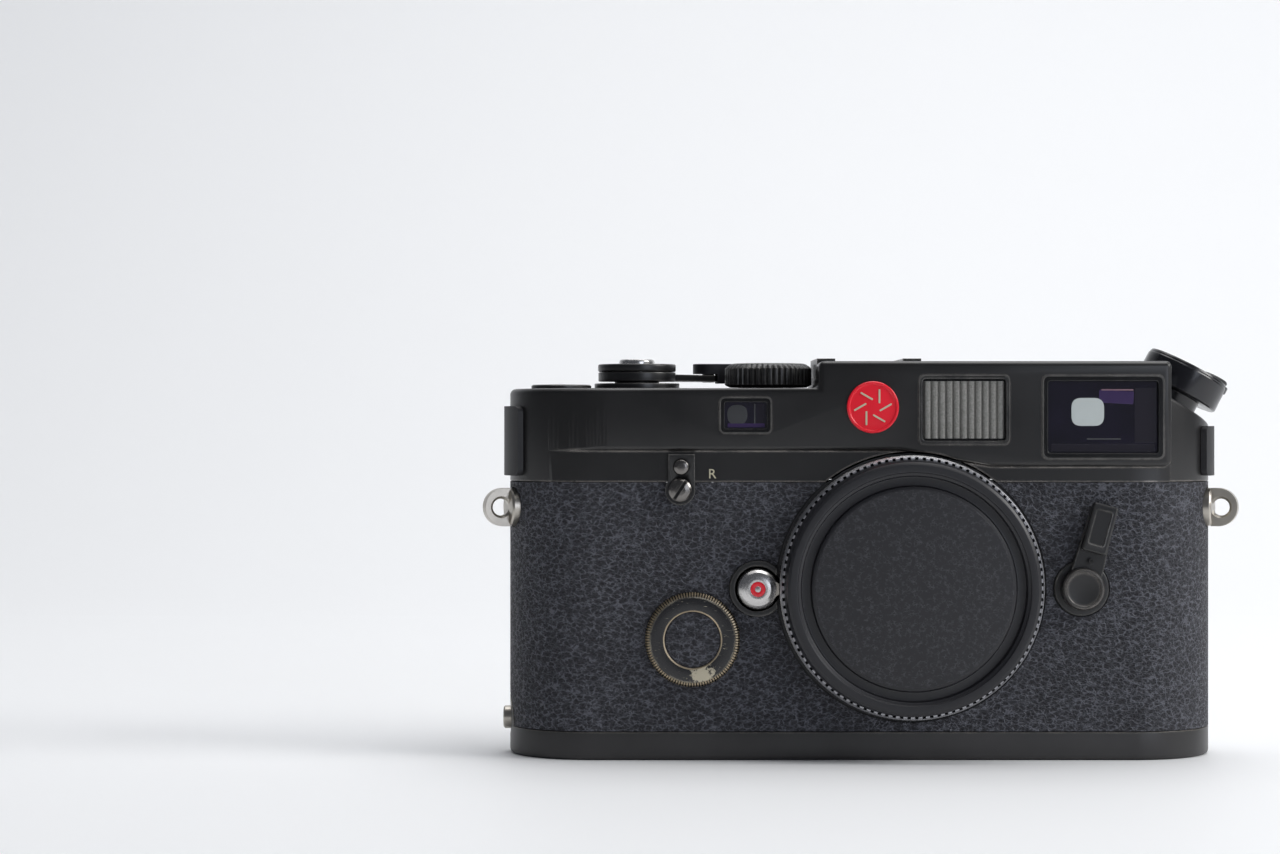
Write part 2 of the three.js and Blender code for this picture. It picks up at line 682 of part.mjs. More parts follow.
LUG_SIDES.forEach(([side, sign]) => {
  const eye = cut(
    join(
      box(69.8, 71.2, -1.1, 1.1, LUG_Z - LUG_R, LUG_Z + LUG_R),
      drum(LUG_R, -1.1, 1.1, 71.2, LUG_Z, 18),
      bar(LUG_R, 67.2, 70.1, 0, LUG_Z, 18),
    ),
    drum(1.65, -3, 3, 71.7, LUG_Z, 14),
  );
  const top = sign < 0 ? 68.3 : 64.4;
  const reach = GUARD_R * Math.sin(THREE.MathUtils.degToRad(GUARD_HALF_DEG));
  const guard = overlap(
    cut(post(GUARD_R, 54.7, top, END_X, 0, 64), post(HALF_DEPTH + GAP, 50, 80, END_X, 0, 64)),
    box(60, 80, -reach, reach, 50, 80),
  );
  add(`strap_lug_${side}`, atLug(eye, sign), CHROME);
  add(`strap_guard_${side}`, atLug(guard, sign), BLACK_PLASTIC);
});

// ---------------------------------------------------------------- advance lever and release

add("advance_hub", turnedUp(
  [[3.8, 69], [4.4, 69], [4.4, DECK_TOP], [8.4, DECK_TOP], [8.4, 72.8], [4.4, 72.8], [4.4, LEVER_TOP],
    [3.8, LEVER_TOP], [3.8, 69]],
  HUB_X, 0,
), BLACK_METAL);
add("advance_hub_cap", turnedUp(
  [[3.8, 75.1], [7.7, 75.1], [7.7, 76.6], [3.8, 76.6], [3.8, 75.1]],
  HUB_X, 0,
), BLACK_METAL);

// Lever ring with a flat arm that reaches towards the back.
function advanceLever() {
  const ring = turnedUp(
    [[0, LEVER_BOTTOM], [7.65, LEVER_BOTTOM], [7.65, LEVER_TOP], [0, LEVER_TOP]],
    HUB_X, 0,
  );
  const arm = new THREE.Shape()
    .moveTo(HUB_X + 3, -6)
    .lineTo(TIP_X + 1.5, TIP_Y - 2.6)
    .absarc(TIP_X, TIP_Y, 3, -1, 2, false)
    .lineTo(HUB_X - 2, 7);
  const pin = post(1.2, LEVER_BOTTOM, 76.4, TIP_X, TIP_Y, 16);
  return cut(join(ring, upright(arm, 73.3, 74.6), pin), post(4.7, 70, 80, HUB_X, 0, 16));
}

add("advance_lever", advanceLever(), BLACK_METAL);

// Thumb tip: it turns on the arm's pin.
function leverTip() {
  const plan = new THREE.Shape()
    .moveTo(TIP_X, TIP_Y - 3.1)
    .quadraticCurveTo(-22, 9.3, -13.4, 10.3)
    .absarc(-12.6, 13, 2.8, -1.9, 1.7, false)
    .quadraticCurveTo(-22, 15.6, TIP_X, TIP_Y + 3.1)
    .absarc(TIP_X, TIP_Y, 3.1, Math.PI / 2, Math.PI * 1.5, false);
  return cut(upright(plan, 73, 76.9, 8), post(1.5, 70, 80, TIP_X, TIP_Y, 16), armSlot());
}

// Room in the tip for the end of the arm, over the tip's swing.
function armSlot() {
  return post(3.5, 72, 74.9, TIP_X, TIP_Y, 16);
}

add("advance_lever_tip", leverTip(), BLACK_PLASTIC);

add("shutter_release_button", turnedUp(
  [[0, 71], [1.2, 71], [1.2, 73.6], [3.5, 73.6], [3.5, 77.2], [3.1, 77.6], [1.5, 77.3],
    [1.1, 75.4], [0, 75.4]],
  HUB_X, 0, 18,
), CHROME);

add("frame_counter_window", turnedUp(
  [[0, 71.3], [4.6, 71.3], [4.6, DECK_TOP], [5.9, DECK_TOP], [5.9, 72.5], [4.8, 72.5],
    [4.4, 72.2], [0, 72.4]],
  COUNTER_X, COUNTER_Y, 18,
), GLASS);
add("frame_counter_disc", turnedUp(
  [[0, 64.5], [1, 64.5], [1, 69.2], [7, 69.2], [7, 69.8], [0, 69.8]],
  COUNTER_X, COUNTER_Y, 18,
), BLACK_METAL);

function speedDial() {
  const grip = upright(knurled(DIAL_R, DIAL_R - 0.6, 40), 72.4, 76, 1).translate(DIAL_X, 0, 0);
  const core = turnedUp(
    [[0, 65], [2, 65], [2, 72], [7.6, 72], [8, 72.5], [7.6, 76.6], [0, 76.6]],
    DIAL_X, 0,
  );
  return join(grip, core);
}

add("shutter_speed_dial", speedDial(), BLACK_METAL);

// ---------------------------------------------------------------- rewind

const rewind = new THREE.Group();
rewind.position.set(SHOULDER_X, 0, SHOULDER_Z);
rewind.rotation.y = KNOB_TILT;
camera.add(rewind);

// Distance down the leaning axis to where it crosses the upright rewind shaft.
const CROSSING = (SHOULDER_X - CASSETTE_X) / Math.sin(KNOB_TILT);
const CROSSING_Z = SHOULDER_Z - CROSSING * Math.cos(KNOB_TILT);
const GEAR_BACK = 1.35;

// Shallow face teeth, cut as radial slots.
function faceSlots(z, x = 0) {
  return [0, 1, 2, 3].map((i) =>
    box(-6, 6, -0.35, 0.35, z - 0.45, z + 0.45).rotateZ((i * Math.PI) / 4).translate(x, 0, 0));
}

// Knob with a channel across its top for the folded crank.
function rewindKnob() {
  const knob = turnedUp(
    [[0, 0.3], [5, 0.3], [5, 2.6], [KNOB_R, 2.6], [KNOB_R, 7.9], [8, 8.36], [0, 8.36]],
  );
  const gearZ = GEAR_BACK - CROSSING;
  const shaft = turnedUp(
    [[0, gearZ], [GEAR_R, gearZ], [GEAR_R, gearZ + 1.4], [2, gearZ + 1.4], [2, 1], [0, 1]], 0, 0, 16,
  );
  const channel = box(-6.6, 12, -2.9, 2.9, 6.4, 10);
  const hingeRoom = box(-6.6, -2.6, -2.9, 2.9, 5.4, 10);
  return cut(join(knob, shaft), channel, hingeRoom, post(3.4, 4.2, 10, 5.6, 0, 16), ...faceSlots(gearZ));
}

add("rewind_knob", rewindKnob(), BLACK_METAL, rewind);

// Folding crank: pivot end, flat arm and a small round grip that sinks into the knob.
function rewindCrank() {
  const arm = upright(roundedRect(15, 5.2, 2.4, 1.2, 0), 6.7, 8.2, 8);
  const grip = turnedUp([[0, 4.6], [2.6, 4.6], [2.6, 9.2], [0, 9.2]], 5.6, 0, 16);
  return join(arm, grip);
}

add("rewind_crank", rewindCrank(), BLACK_METAL, rewind);

// Upright shaft with a face gear above the ceiling and a two-pronged fork in the cassette chamber.
function rewindFork() {
  const top = CROSSING_Z - GEAR_BACK;
  const spindle = turnedUp(
    [[0, 42.5], [3.4, 42.5], [3.4, 48.4], [2.1, 48.4], [2.1, top - 1.2], [GEAR_R, top - 1.2],
      [GEAR_R, top], [0, top]],
    CASSETTE_X, 0, 16,
  );
  const slot = box(CASSETTE_X - 1.1, CASSETTE_X + 1.1, -5, 5, 40, 46.5);
  return cut(spindle, slot, ...faceSlots(top, CASSETTE_X));
}

add("rewind_fork", rewindFork(), DARK_STEEL);

// ---------------------------------------------------------------- film transport and shutter

// Drum with eight teeth at each end, under the advance lever.
function sprocketDrum() {
  const core = turnedUp(
    [[0, 9.5], [6, 9.5], [6, 19], [4.6, 20], [4.6, 40], [6, 41], [6, 48], [2, 48], [2, 66], [0, 66]],
    HUB_X, 0, 16,
  );
  const teeth = [14, 43].flatMap((z) => [0, 1, 2, 3, 4, 5, 6, 7].map((i) =>
    box(5, 6.9, -0.6, 0.6, z - 0.6, z + 0.6).rotateZ((i * Math.PI) / 4).translate(HUB_X, 0, 0)));
  return join(core, ...teeth);
}

add("sprocket_drum", sprocketDrum(), DARK_STEEL);

// Take-up spool with three film slots.
function takeUpSpool() {
  const spool = turnedUp(
    [[0, 7.5], [5.2, 7.5], [5.2, 9], [4.4, 9.5], [4.4, 46], [5.2, 46.5], [5.2, 48.2], [0, 48.2]],
    SPOOL_X, SPOOL_Y, 16,
  );
  const slots = [0, 1, 2].map((i) =>
    box(2, 8, -0.6, 0.6, 20, 36).rotateZ((i * 2 * Math.PI) / 3).translate(SPOOL_X, SPOOL_Y, 0));
  return cut(spool, ...slots);
}

add("take_up_spool", takeUpSpool(), BLACK_PLASTIC);

// Cloth curtain in front of the film gate, between its winding drum and its spring roller.
add("shutter_curtain", box(-11, 29.5, 4, 4.5, 17, 48.4), CURTAIN_CLOTH);
add("curtain_drum", turnedUp(
  [[0, 8], [5, 8], [5, 48.5], [1.2, 48.5], [1.2, 52.6], [0, 52.6]], CURTAIN_X, CURTAIN_Y, 18,
), DARK_STEEL);
add("curtain_roller", post(2.8, 8, 48.5, 33.6, 2.6, 16), DARK_STEEL);

// ---------------------------------------------------------------- back door

function backDoor() {
  const plate = box(DOOR_LEFT, DOOR_RIGHT, DOOR_INNER, HALF_DEPTH - SKIN, DOOR_BOTTOM, DOOR_TOP);
  const knuckles = hingeSpans().map(([x0, x1]) => join(
    bar(1.35, x0, x1, HINGE_Y, HINGE_Z),
    box(x0, x1, DOOR_INNER, HALF_DEPTH - SKIN, DOOR_TOP - 1, HINGE_Z),
  ));
  return cut(join(plate, ...knuckles), bar(0.8, -70, 70, HINGE_Y, HINGE_Z));
}

add("back_door", backDoor(), BLACK_METAL);
add("door_hinge_pin", bar(0.7, DOOR_LEFT + 0.1, DOOR_RIGHT - 0.1, HINGE_Y, HINGE_Z), DARK_STEEL);
add("door_leather", cut(
  box(DOOR_LEFT + 0.2, DOOR_RIGHT - 0.2, HALF_DEPTH - SKIN, HALF_DEPTH, DOOR_BOTTOM + 0.2, DOOR_TOP - 0.6),
  drum(FILM_DIAL_R + 0.3, 10, 20, FILM_DIAL_X, FILM_DIAL_Z, 36),
), LEATHER);
add("film_speed_dial", turnedBack(
  [[0, 16.2], [FILM_DIAL_R, 16.2], [FILM_DIAL_R, 17.7], [9, 17.7], [8.6, 17.3], [0, 17.3]],
  FILM_DIAL_X, FILM_DIAL_Z, 36,
), BLACK_PLASTIC);

// Plate that holds the film flat, on a leaf spring behind it.
add("pressure_plate", join(
  box(LENS_X - 27, LENS_X + 19, FILM_Y + 0.25, FILM_Y + 1.4, LENS_Z - 15, LENS_Z + 15),
  box(LENS_X - 12, LENS_X + 4, FILM_Y + 1.2, FILM_Y + 2.2, LENS_Z - 8, LENS_Z + 8),
), BLACK_METAL);

function plateSpring() {
  const line = new THREE.Shape()
    .moveTo(-16, 4)
    .lineTo(-6, 1.1)
    .lineTo(6, 1.1)
    .lineTo(16, 4)
    .lineTo(16, 4.35)
    .lineTo(6, 1.45)
    .lineTo(-6, 1.45)
    .lineTo(-16, 4.35);
  return upright(line, LENS_Z - 4, LENS_Z + 4).translate(LENS_X - 4, FILM_Y + 1.95, 0);
}

add("pressure_plate_spring", plateSpring(), BRASS);

// ---------------------------------------------------------------- base plate

// Shallow tray with an ear around the catch stud at the left end.
function basePlate() {
  const outer = new THREE.ExtrudeGeometry(stadium(0.8), {
    depth: 8,
    bevelEnabled: true,
    bevelSize: 0.8,
    bevelThickness: 0.8,
    bevelSegments: 1,
    curveSegments: 10,
  }).translate(0, 0, 0.8);
  const tray = overlap(outer, box(-80, 80, -30, 30, 0, BASE_TOP));
  const rim = cut(upright(stadium(), BASE_TOP - 0.2, 12), upright(stadium(1.4), 0, 20));
  const ear = overlap(rim, bar(5.4, -80, -60, 0, STUD_Z - 0.8, 18));
  const hollow = upright(stadium(1.4), 1.4, 20);
  return cut(
    join(cut(tray, hollow), ear, post(9.6, 0.4, 3.4, KEY_X, 0), post(7.6, 0.4, 4.2, TRIPOD_X, 0)),
    bar(3.4, -80, -60, 0, STUD_Z, 18),
    post(KEY_R + 0.3, -1, 2.2, KEY_X, 0),
    post(2.6, -1, 6, KEY_X, 0, 16),
    post(TRIPOD_BUSH_R + GAP, -1, 6, TRIPOD_X, 0),
  );
}

add("base_plate", basePlate(), BLACK_METAL);
add("catch_stud", turnedUp(
  [[0, -4], [1.2, -4], [1.2, -0.5], [2.25, -0.5], [2.25, 2.3], [0, 2.3]], 0, 0, 16,
).rotateY(-Math.PI / 2).translate(-HALF_WIDTH + 1, 0, STUD_Z), CHROME);

// Bush with the tripod thread's bore, flush with the underside.
add("tripod_bush", turnedUp(
  [[3.15, 0], [TRIPOD_BUSH_R, 0], [TRIPOD_BUSH_R, 4.2], [7.4, 4.2], [7.4, 5.2], [3.15, 5.2], [3.15, 0]],
  TRIPOD_X, 0,
), CHROME);

// Lock key: a round plate that turns in the underside, with a latch bar inside the tray.
function lockKey() {
  const plate = post(KEY_R, 0.1, 1.8, KEY_X, 0);
  const finger = cut(post(6.6, -1, 1.3, KEY_X, 0), box(KEY_X - 10, KEY_X + 10, -1.1, 1.1, -2, 3));
  const latch = box(KEY_X - 2, KEY_X + 9, -2, 2, 3.9, 5);
  return join(cut(plate, finger), post(2.3, 1.5, 5, KEY_X, 0, 16), latch);
}

add("base_lock_key", lockKey(), BLACK_METAL);

export default camera;
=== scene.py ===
import json
import math

import bmesh
import bpy
import numpy as np
from mathutils import Matrix, Vector


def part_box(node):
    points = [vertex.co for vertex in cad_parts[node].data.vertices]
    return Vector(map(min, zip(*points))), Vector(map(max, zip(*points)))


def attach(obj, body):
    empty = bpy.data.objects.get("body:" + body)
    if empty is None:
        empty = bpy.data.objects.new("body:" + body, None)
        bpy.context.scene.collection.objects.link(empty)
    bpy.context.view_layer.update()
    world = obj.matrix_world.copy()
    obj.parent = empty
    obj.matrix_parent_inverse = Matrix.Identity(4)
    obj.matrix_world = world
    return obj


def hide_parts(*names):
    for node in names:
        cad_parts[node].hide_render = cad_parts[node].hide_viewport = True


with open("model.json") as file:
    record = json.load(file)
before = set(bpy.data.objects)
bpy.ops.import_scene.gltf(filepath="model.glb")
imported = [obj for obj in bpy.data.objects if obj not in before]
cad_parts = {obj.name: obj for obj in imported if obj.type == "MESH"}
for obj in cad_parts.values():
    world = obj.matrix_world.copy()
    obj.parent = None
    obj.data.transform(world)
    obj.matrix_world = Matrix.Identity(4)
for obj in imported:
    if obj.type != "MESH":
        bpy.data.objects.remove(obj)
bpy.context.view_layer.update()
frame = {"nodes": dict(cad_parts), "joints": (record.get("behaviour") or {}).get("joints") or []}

MM = 0.001
SCENE = bpy.context.scene


# ---- reading the frame

class Span:
    """A CAD node's box in millimetres."""

    def __init__(self, node):
        low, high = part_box(node)
        self.x0, self.y0, self.z0 = (v / MM for v in low)
        self.x1, self.y1, self.z1 = (v / MM for v in high)
        self.x = (self.x0 + self.x1) / 2
        self.y = (self.y0 + self.y1) / 2
        self.z = (self.z0 + self.z1) / 2
        self.w = self.x1 - self.x0
        self.d = self.y1 - self.y0
        self.h = self.z1 - self.z0
        self.xz = (self.x, self.z)


def pivot(joint):
    """Where a joint's axis lies, in millimetres."""
    facts = next(j for j in frame["joints"] if j["name"] == joint)
    return Vector(facts["pos_m"]) / MM


COVER = Span("top_cover")
LEATHER = Span("leather_covering")
BASE = Span("base_plate")
CAP = Span("body_cap")
FLANGE = Span("lens_mount_flange")
HALF_W = BASE.w / 2
R_END = BASE.d / 2
END_X = HALF_W - R_END
LENS = CAP.xz
LENS_HOLE_R = 26.1
RANGE_W = Span("rangefinder_window_frame")
VIEW_W = Span("viewfinder_frame")
LIGHT_W = Span("illumination_window")
LIGHT_W.w += 2.05
LIGHT_W.h += 2.05
SHOE = Span("hot_shoe")
EYE = Span("eyepiece_frame")
HUB = Span("advance_hub")
DIAL = Span("shutter_speed_dial")
FILM_DIAL = Span("film_speed_dial")
COUNTER = Span("frame_counter_window")
RELEASE = Span("lens_release_button")
BATTERY = Span("battery_cover")
SELECTOR = (pivot("frame_selector_swing").x, pivot("frame_selector_swing").z)
SOCKETS = [Span("flash_socket_1"), Span("flash_socket_2")]


# ---- mesh helpers

def arc(cx, cy, r, start, end, steps):
    """Points on an arc, angles in degrees."""
    turn = [math.radians(start + (end - start) * i / steps) for i in range(steps + 1)]
    return [(cx + r * math.cos(a), cy + r * math.sin(a)) for a in turn]


def soften(points, radius, steps=4, closed=False):
    """A polyline with its corners rounded; radius is one number or one for each point."""
    radii = radius if isinstance(radius, (list, tuple)) else [radius] * len(points)
    out = []
    count = len(points)
    for i, p in enumerate(points):
        if not closed and i in (0, count - 1) or radii[i] <= 0:
            out.append(tuple(p))
            continue
        here = Vector(p).to_2d()
        before = Vector(points[i - 1]).to_2d() - here
        after = Vector(points[(i + 1) % count]).to_2d() - here
        turn = math.pi - before.angle(after)
        if turn < 0.05:
            out.append(tuple(p))
            continue
        back = min(radii[i] * math.tan(turn / 2), before.length * 0.48, after.length * 0.48)
        a = here + before.normalized() * back
        b = here + after.normalized() * back
        for k in range(steps + 1):
            t = k / steps
            q = a * (1 - t) ** 2 + here * 2 * t * (1 - t) + b * t ** 2
            out.append((q.x, q.y))
    return out


def rounded_rect(x, z, w, h, r, steps=6):
    corners = [(x + a * w / 2, z + b * h / 2) for a, b in ((-1, -1), (1, -1), (1, 1), (-1, 1))]
    return soften(corners, r, steps, closed=True)


def bend(a, b, c, steps):
    """A curve from a to c that is pulled towards b."""
    return [tuple((1 - t) ** 2 * p + 2 * t * (1 - t) * q + t * t * r for p, q, r in zip(a, b, c))
            for t in np.linspace(0, 1, steps + 1)]


def stadium(inset=0.0, steps=48):
    """Plan of the body, counter-clockwise from above."""
    r = R_END - inset
    return arc(END_X, 0, r, -90, 90, steps) + arc(-END_X, 0, r, 90, 270, steps)


def new_object(name, verts, faces, smooth_angle=40):
    """A mesh object from millimetre vertices."""
    mesh = bpy.data.meshes.new(name)
    mesh.from_pydata([tuple(c * MM for c in v) for v in verts], [], faces)
    work = bmesh.new()
    work.from_mesh(mesh)
    bmesh.ops.remove_doubles(work, verts=work.verts, dist=1e-7)
    bmesh.ops.recalc_face_normals(work, faces=work.faces)
    work.to_mesh(mesh)
    work.free()
    obj = bpy.data.objects.new(name, mesh)
    SCENE.collection.objects.link(obj)
    shade(obj, smooth_angle)
    return obj


def shade(obj, angle=40):
    for face in obj.data.polygons:
        face.use_smooth = True
    obj.data.set_sharp_from_angle(angle=math.radians(angle))


def turned(name, profile, x, other, axis, segments, ridges=None):
    """A solid of revolution. profile holds (radius, along) pairs, from axis to axis or closed on itself.

    axis "y" turns about a line through (x, z=other); axis "z" about (x, y=other).
    ridges is (count, depth, least radius): points further out than that radius get that many ridges.
    """
    if ridges:
        segments = ridges[0] * 4
    loop = profile[0][0] > 1e-6
    verts, faces = [], []
    rows = len(profile)
    for i in range(segments):
        a = 2 * math.pi * i / segments
        for r, along in profile:
            if ridges and r > ridges[2]:
                r -= ridges[1] * (0, 0.15, 1, 0.15)[i % 4]
            u, v = r * math.cos(a), r * math.sin(a)
            verts.append((x + u, along, other + v) if axis == "y" else (x + u, other + v, along))
    for i in range(segments):
        j = (i + 1) % segments
        for k in range(rows if loop else rows - 1):
            m = (k + 1) % rows
            faces.append([i * rows + k, i * rows + m, j * rows + m, j * rows + k])
    return new_object(name, verts, faces)


def slab(name, outline, low, high, axis="y", edge=0.0):
    """An outline raised between two levels along an axis; the outline is in the other two, in order."""
    def place(u, v, level):
        return {"y": (u, level, v), "z": (u, v, level), "x": (level, u, v)}[axis]

    n = len(outline)
    verts = [place(u, v, low) for u, v in outline] + [place(u, v, high) for u, v in outline]
    faces = [list(range(n)), list(range(2 * n - 1, n - 1, -1))]
    faces += [[i, (i + 1) % n, n + (i + 1) % n, n + i] for i in range(n)]
    obj = new_object(name, verts, faces)
    if edge:
        round_edges(obj, edge)
    return obj


def bake_modifiers(obj):
    """Makes an object's mesh what its modifiers show."""
    bpy.context.view_layer.update()
    shown = obj.evaluated_get(bpy.context.evaluated_depsgraph_get())
    mesh = bpy.data.meshes.new_from_object(shown)
    obj.modifiers.clear()
    old = obj.data
    obj.data = mesh
    bpy.data.meshes.remove(old)
    return obj


def combine(obj, operation, tools):
    for tool in tools:
        step = obj.modifiers.new("bool", "BOOLEAN")
        step.operation = operation
        step.solver = "MANIFOLD"
        step.object = tool
        bake_modifiers(obj)
        bpy.data.objects.remove(tool)
    return obj


def carve(obj, *tools):
    return combine(obj, "DIFFERENCE", tools)


def weld(obj, *tools):
    return combine(obj, "UNION", tools)


def common(obj, *tools):
    return combine(obj, "INTERSECT", tools)


def round_edges(obj, width, segments=3, angle=50):
    step = obj.modifiers.new("edges", "BEVEL")
    step.width = width * MM
    step.segments = segments
    step.limit_method = "ANGLE"
    step.angle_limit = math.radians(angle)
    step.miter_outer = "MITER_ARC"
    bake_modifiers(obj)
    shade(obj, 35)
    weights = obj.modifiers.new("normals", "WEIGHTED_NORMAL")
    weights.keep_sharp = True
    return obj


def round_some(obj, width_of, segments=4):
    """Rounds the sharp edges by a width that a function gives for each edge's middle, in millimetres."""
    work = bmesh.new()
    work.from_mesh(obj.data)
    layer = work.edges.layers.float.new("bevel_weight_edge")
    widest = 0.0
    chosen = []
    for e in work.edges:
        if len(e.link_faces) == 2 and e.calc_face_angle(0) > math.radians(50):
            width = width_of((e.verts[0].co + e.verts[1].co) / 2 / MM)
            chosen.append((e, width))
            widest = max(widest, width)
    for e, width in chosen:
        e[layer] = width / widest
    work.to_mesh(obj.data)
    work.free()
    step = obj.modifiers.new("edges", "BEVEL")
    step.width = widest * MM
    step.segments = segments
    step.limit_method = "WEIGHT"
    bake_modifiers(obj)
    shade(obj, 35)
    return obj


def finish(obj, body, material, *nodes, slot=None):
    """Gives a piece its look, its body and the CAD nodes it stands for; slot is not used."""
    obj.data.materials.clear()
    obj.data.materials.append(material)
    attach(obj, body)
    if nodes:
        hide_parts(*nodes)
    return obj


# ---- materials

class Look:
    """A Principled material and short ways to add nodes to it."""

    def __init__(self, name, colour, roughness, metallic=0.0, **sockets):
        self.material = bpy.data.materials.new(name)
        self.material.use_nodes = True
        self.tree = self.material.node_tree
        self.shader = self.tree.nodes["Principled BSDF"]
        sockets.update(Base_Color=colour, Roughness=roughness, Metallic=metallic)
        for key, value in sockets.items():
            self.feed(self.shader, key.replace("_", " "), value)
        self.where = self.add("ShaderNodeTexCoord").outputs["Object"]

    def feed(self, node, key, value):
        """Links another node's output to a socket, or sets the socket's own number or colour."""
        socket = node.inputs[key]
        if isinstance(value, bpy.types.NodeSocket):
            self.tree.links.new(value, socket)
        else:
            socket.default_value = (*value, 1) if socket.type == "RGBA" else value

    def add(self, kind, inputs=(), **settings):
        node = self.tree.nodes.new(kind)
        for key, value in settings.items():
            setattr(node, key, value)
        for key, value in dict(inputs).items():
            self.feed(node, key, value)
        return node

    def stretched(self, stretch):
        if stretch == (1, 1, 1):
            return self.where
        return self.add("ShaderNodeMapping", {"Scale": stretch, "Vector": self.where}).outputs["Vector"]

    def noise(self, scale, detail=4.0, stretch=(1, 1, 1), rough=0.55, distortion=0.0):
        inputs = {"Scale": scale, "Detail": detail, "Roughness": rough, "Distortion": distortion}
        return self.add("ShaderNodeTexNoise", {**inputs, "Vector": self.stretched(stretch)}).outputs["Fac"]

    def cells(self, scale, feature, stretch, warp, warp_scale):
        """Cells whose edges are bent by a noise."""
        source = self.stretched(stretch)
        sway = self.add("ShaderNodeTexNoise", {"Scale": warp_scale, "Detail": 2, "Vector": source})
        bent = self.add("ShaderNodeMix", {"Factor": warp, 4: source, 5: sway.outputs["Color"]},
            data_type="VECTOR")
        inputs = {"Scale": scale, "Vector": bent.outputs[1]}
        return self.add("ShaderNodeTexVoronoi", inputs, feature=feature).outputs["Distance"]

    def ramp(self, source, *stops):
        """Stops are (position, value) with a grey value or a colour."""
        node = self.add("ShaderNodeValToRGB", {"Fac": source})
        elements = node.color_ramp.elements
        while len(elements) < len(stops):
            elements.new(0.5)
        for element, (position, value) in zip(elements, stops):
            element.position = position
            element.color = (*value, 1) if isinstance(value, tuple) else (value, value, value, 1)
        return node.outputs["Color"]

    def math(self, operation, a, b, clamp=False):
        return self.add("ShaderNodeMath", {0: a, 1: b}, operation=operation, use_clamp=clamp).outputs[0]

    def times(self, a, b, clamp=False):
        return self.math("MULTIPLY", a, b, clamp)

    def plus(self, a, b, clamp=False):
        return self.math("ADD", a, b, clamp)

    def mix(self, factor, a, b):
        return self.add("ShaderNodeMix", {0: factor, 6: a, 7: b}, data_type="RGBA").outputs[2]

    def colour(self, source):
        self.feed(self.shader, "Base Color", source)

    def rough(self, source):
        self.feed(self.shader, "Roughness", source)

    def metal(self, source):
        self.feed(self.shader, "Metallic", source)

    def bump(self, source, height, strength=1.0, after=None):
        node = self.add("ShaderNodeBump", {"Strength": strength, "Distance": height * MM, "Height": source})
        if after:
            self.feed(node, "Normal", after)
        self.feed(self.shader, "Normal", node.outputs["Normal"])
        return node.outputs["Normal"]

    def edge_mask(self, radius=0.5, low=0.02, high=0.16):
        """One along convex and concave edges, nought on flat stretches."""
        bevel = self.add("ShaderNodeBevel", {"Radius": radius * MM}, samples=4).outputs["Normal"]
        normal = self.add("ShaderNodeNewGeometry").outputs["Normal"]
        dot = self.add("ShaderNodeVectorMath", {0: bevel, 1: normal}, operation="DOT_PRODUCT")
        return self.ramp(self.math("SUBTRACT", 1.0, dot.outputs["Value"]), (low, 0.0), (high, 1.0))


def scaled(colour, factor):
    return tuple(c * factor for c in colour)


def lacquer(name, colour=(0.007, 0.007, 0.0078), roughness=0.33, edge_wear_and_highlight=(0.3, 0.29, 0.27), amount=0.7,
    radius=0.5):
    """Satin black lacquer: faint mottling; lighter and metallic along the edges, partly rubbed wear and
    partly a painted highlight.
    """
    look = Look(name, colour, roughness, 0.0, IOR=1.5, Coat_Weight=0.12, Coat_Roughness=0.25)
    cloud = look.noise(60, 5)
    fine = look.noise(900, 6, rough=0.7)
    edge = look.edge_mask(radius)
    patch = look.ramp(look.noise(220, 6, rough=0.7), (0.42, 0.0), (0.62, 1.0))
    # Painted highlight and rubbed wear: edges are pushed towards the pale edge colour.
    rub = look.times(edge, look.times(look.plus(patch, 0.35), amount), clamp=True)
    body = look.mix(look.ramp(cloud, (0.35, 0.0), (0.7, 1.0)), scaled(colour, 0.8), scaled(colour, 1.35))
    look.colour(look.mix(rub, body, edge_wear_and_highlight))
    look.metal(look.times(rub, 0.8))
    shine = look.plus(roughness - 0.06, look.times(cloud, 0.14))
    look.rough(look.math("SUBTRACT", shine, look.times(rub, 0.08)))
    look.bump(fine, 0.004, 0.5)
    return look.material


def leather_look():
    """Blue-black covering: round pits painted dark as shade inside an uneven net of ridges painted lighter as
    highlight.
    """
    look = Look("pebbled_leather", (0.025, 0.027, 0.034), 0.55, 0.0, IOR=1.45)
    layout = ((0.86, 1, 1.25), 0.0014, 640)
    net = look.ramp(look.cells(860, "DISTANCE_TO_EDGE", *layout), (0.0, 1.0), (0.2, 0.0))
    fine = look.ramp(look.cells(1700, "DISTANCE_TO_EDGE", (0.8, 1, 1.35), 0.0008, 900), (0.0, 1.0),
        (0.26, 0.0))
    wander = look.ramp(look.noise(900, 3, (0.6, 1, 1.3)), (0.36, 0.12), (0.64, 1.0))
    # Painted shade: the colour darkens towards the middle of each pit.
    painted_pit_shade = look.ramp(look.cells(860, "F1", *layout), (0.1, 0.35), (0.5, 1.0))
    patch = look.noise(70, 3)
    grain = look.noise(3400, 4, rough=0.7)
    # Painted highlight: the net of ridges is painted lighter.
    ridges = look.times(net, wander)
    height = look.plus(look.times(ridges, 0.62), look.times(fine, 0.38), clamp=True)
    shade_of = look.times(height, look.plus(0.55, look.times(patch, 0.9)), clamp=True)
    shade_of = look.times(look.plus(0.12, shade_of), painted_pit_shade, clamp=True)
    look.colour(look.ramp(
        shade_of,
        (0.0, (0.003, 0.003, 0.005)),
        (0.12, (0.013, 0.013, 0.018)),
        (0.4, (0.028, 0.029, 0.036)),
        (0.85, (0.1, 0.104, 0.125)),
    ))
    look.rough(look.ramp(height, (0.1, 0.7), (0.9, 0.42)))
    first = look.bump(height, 0.22, 1.0)
    look.bump(grain, 0.012, 0.4, after=first)
    return look.material


RUBBED_PLASTIC = (0.1, 0.1, 0.11)


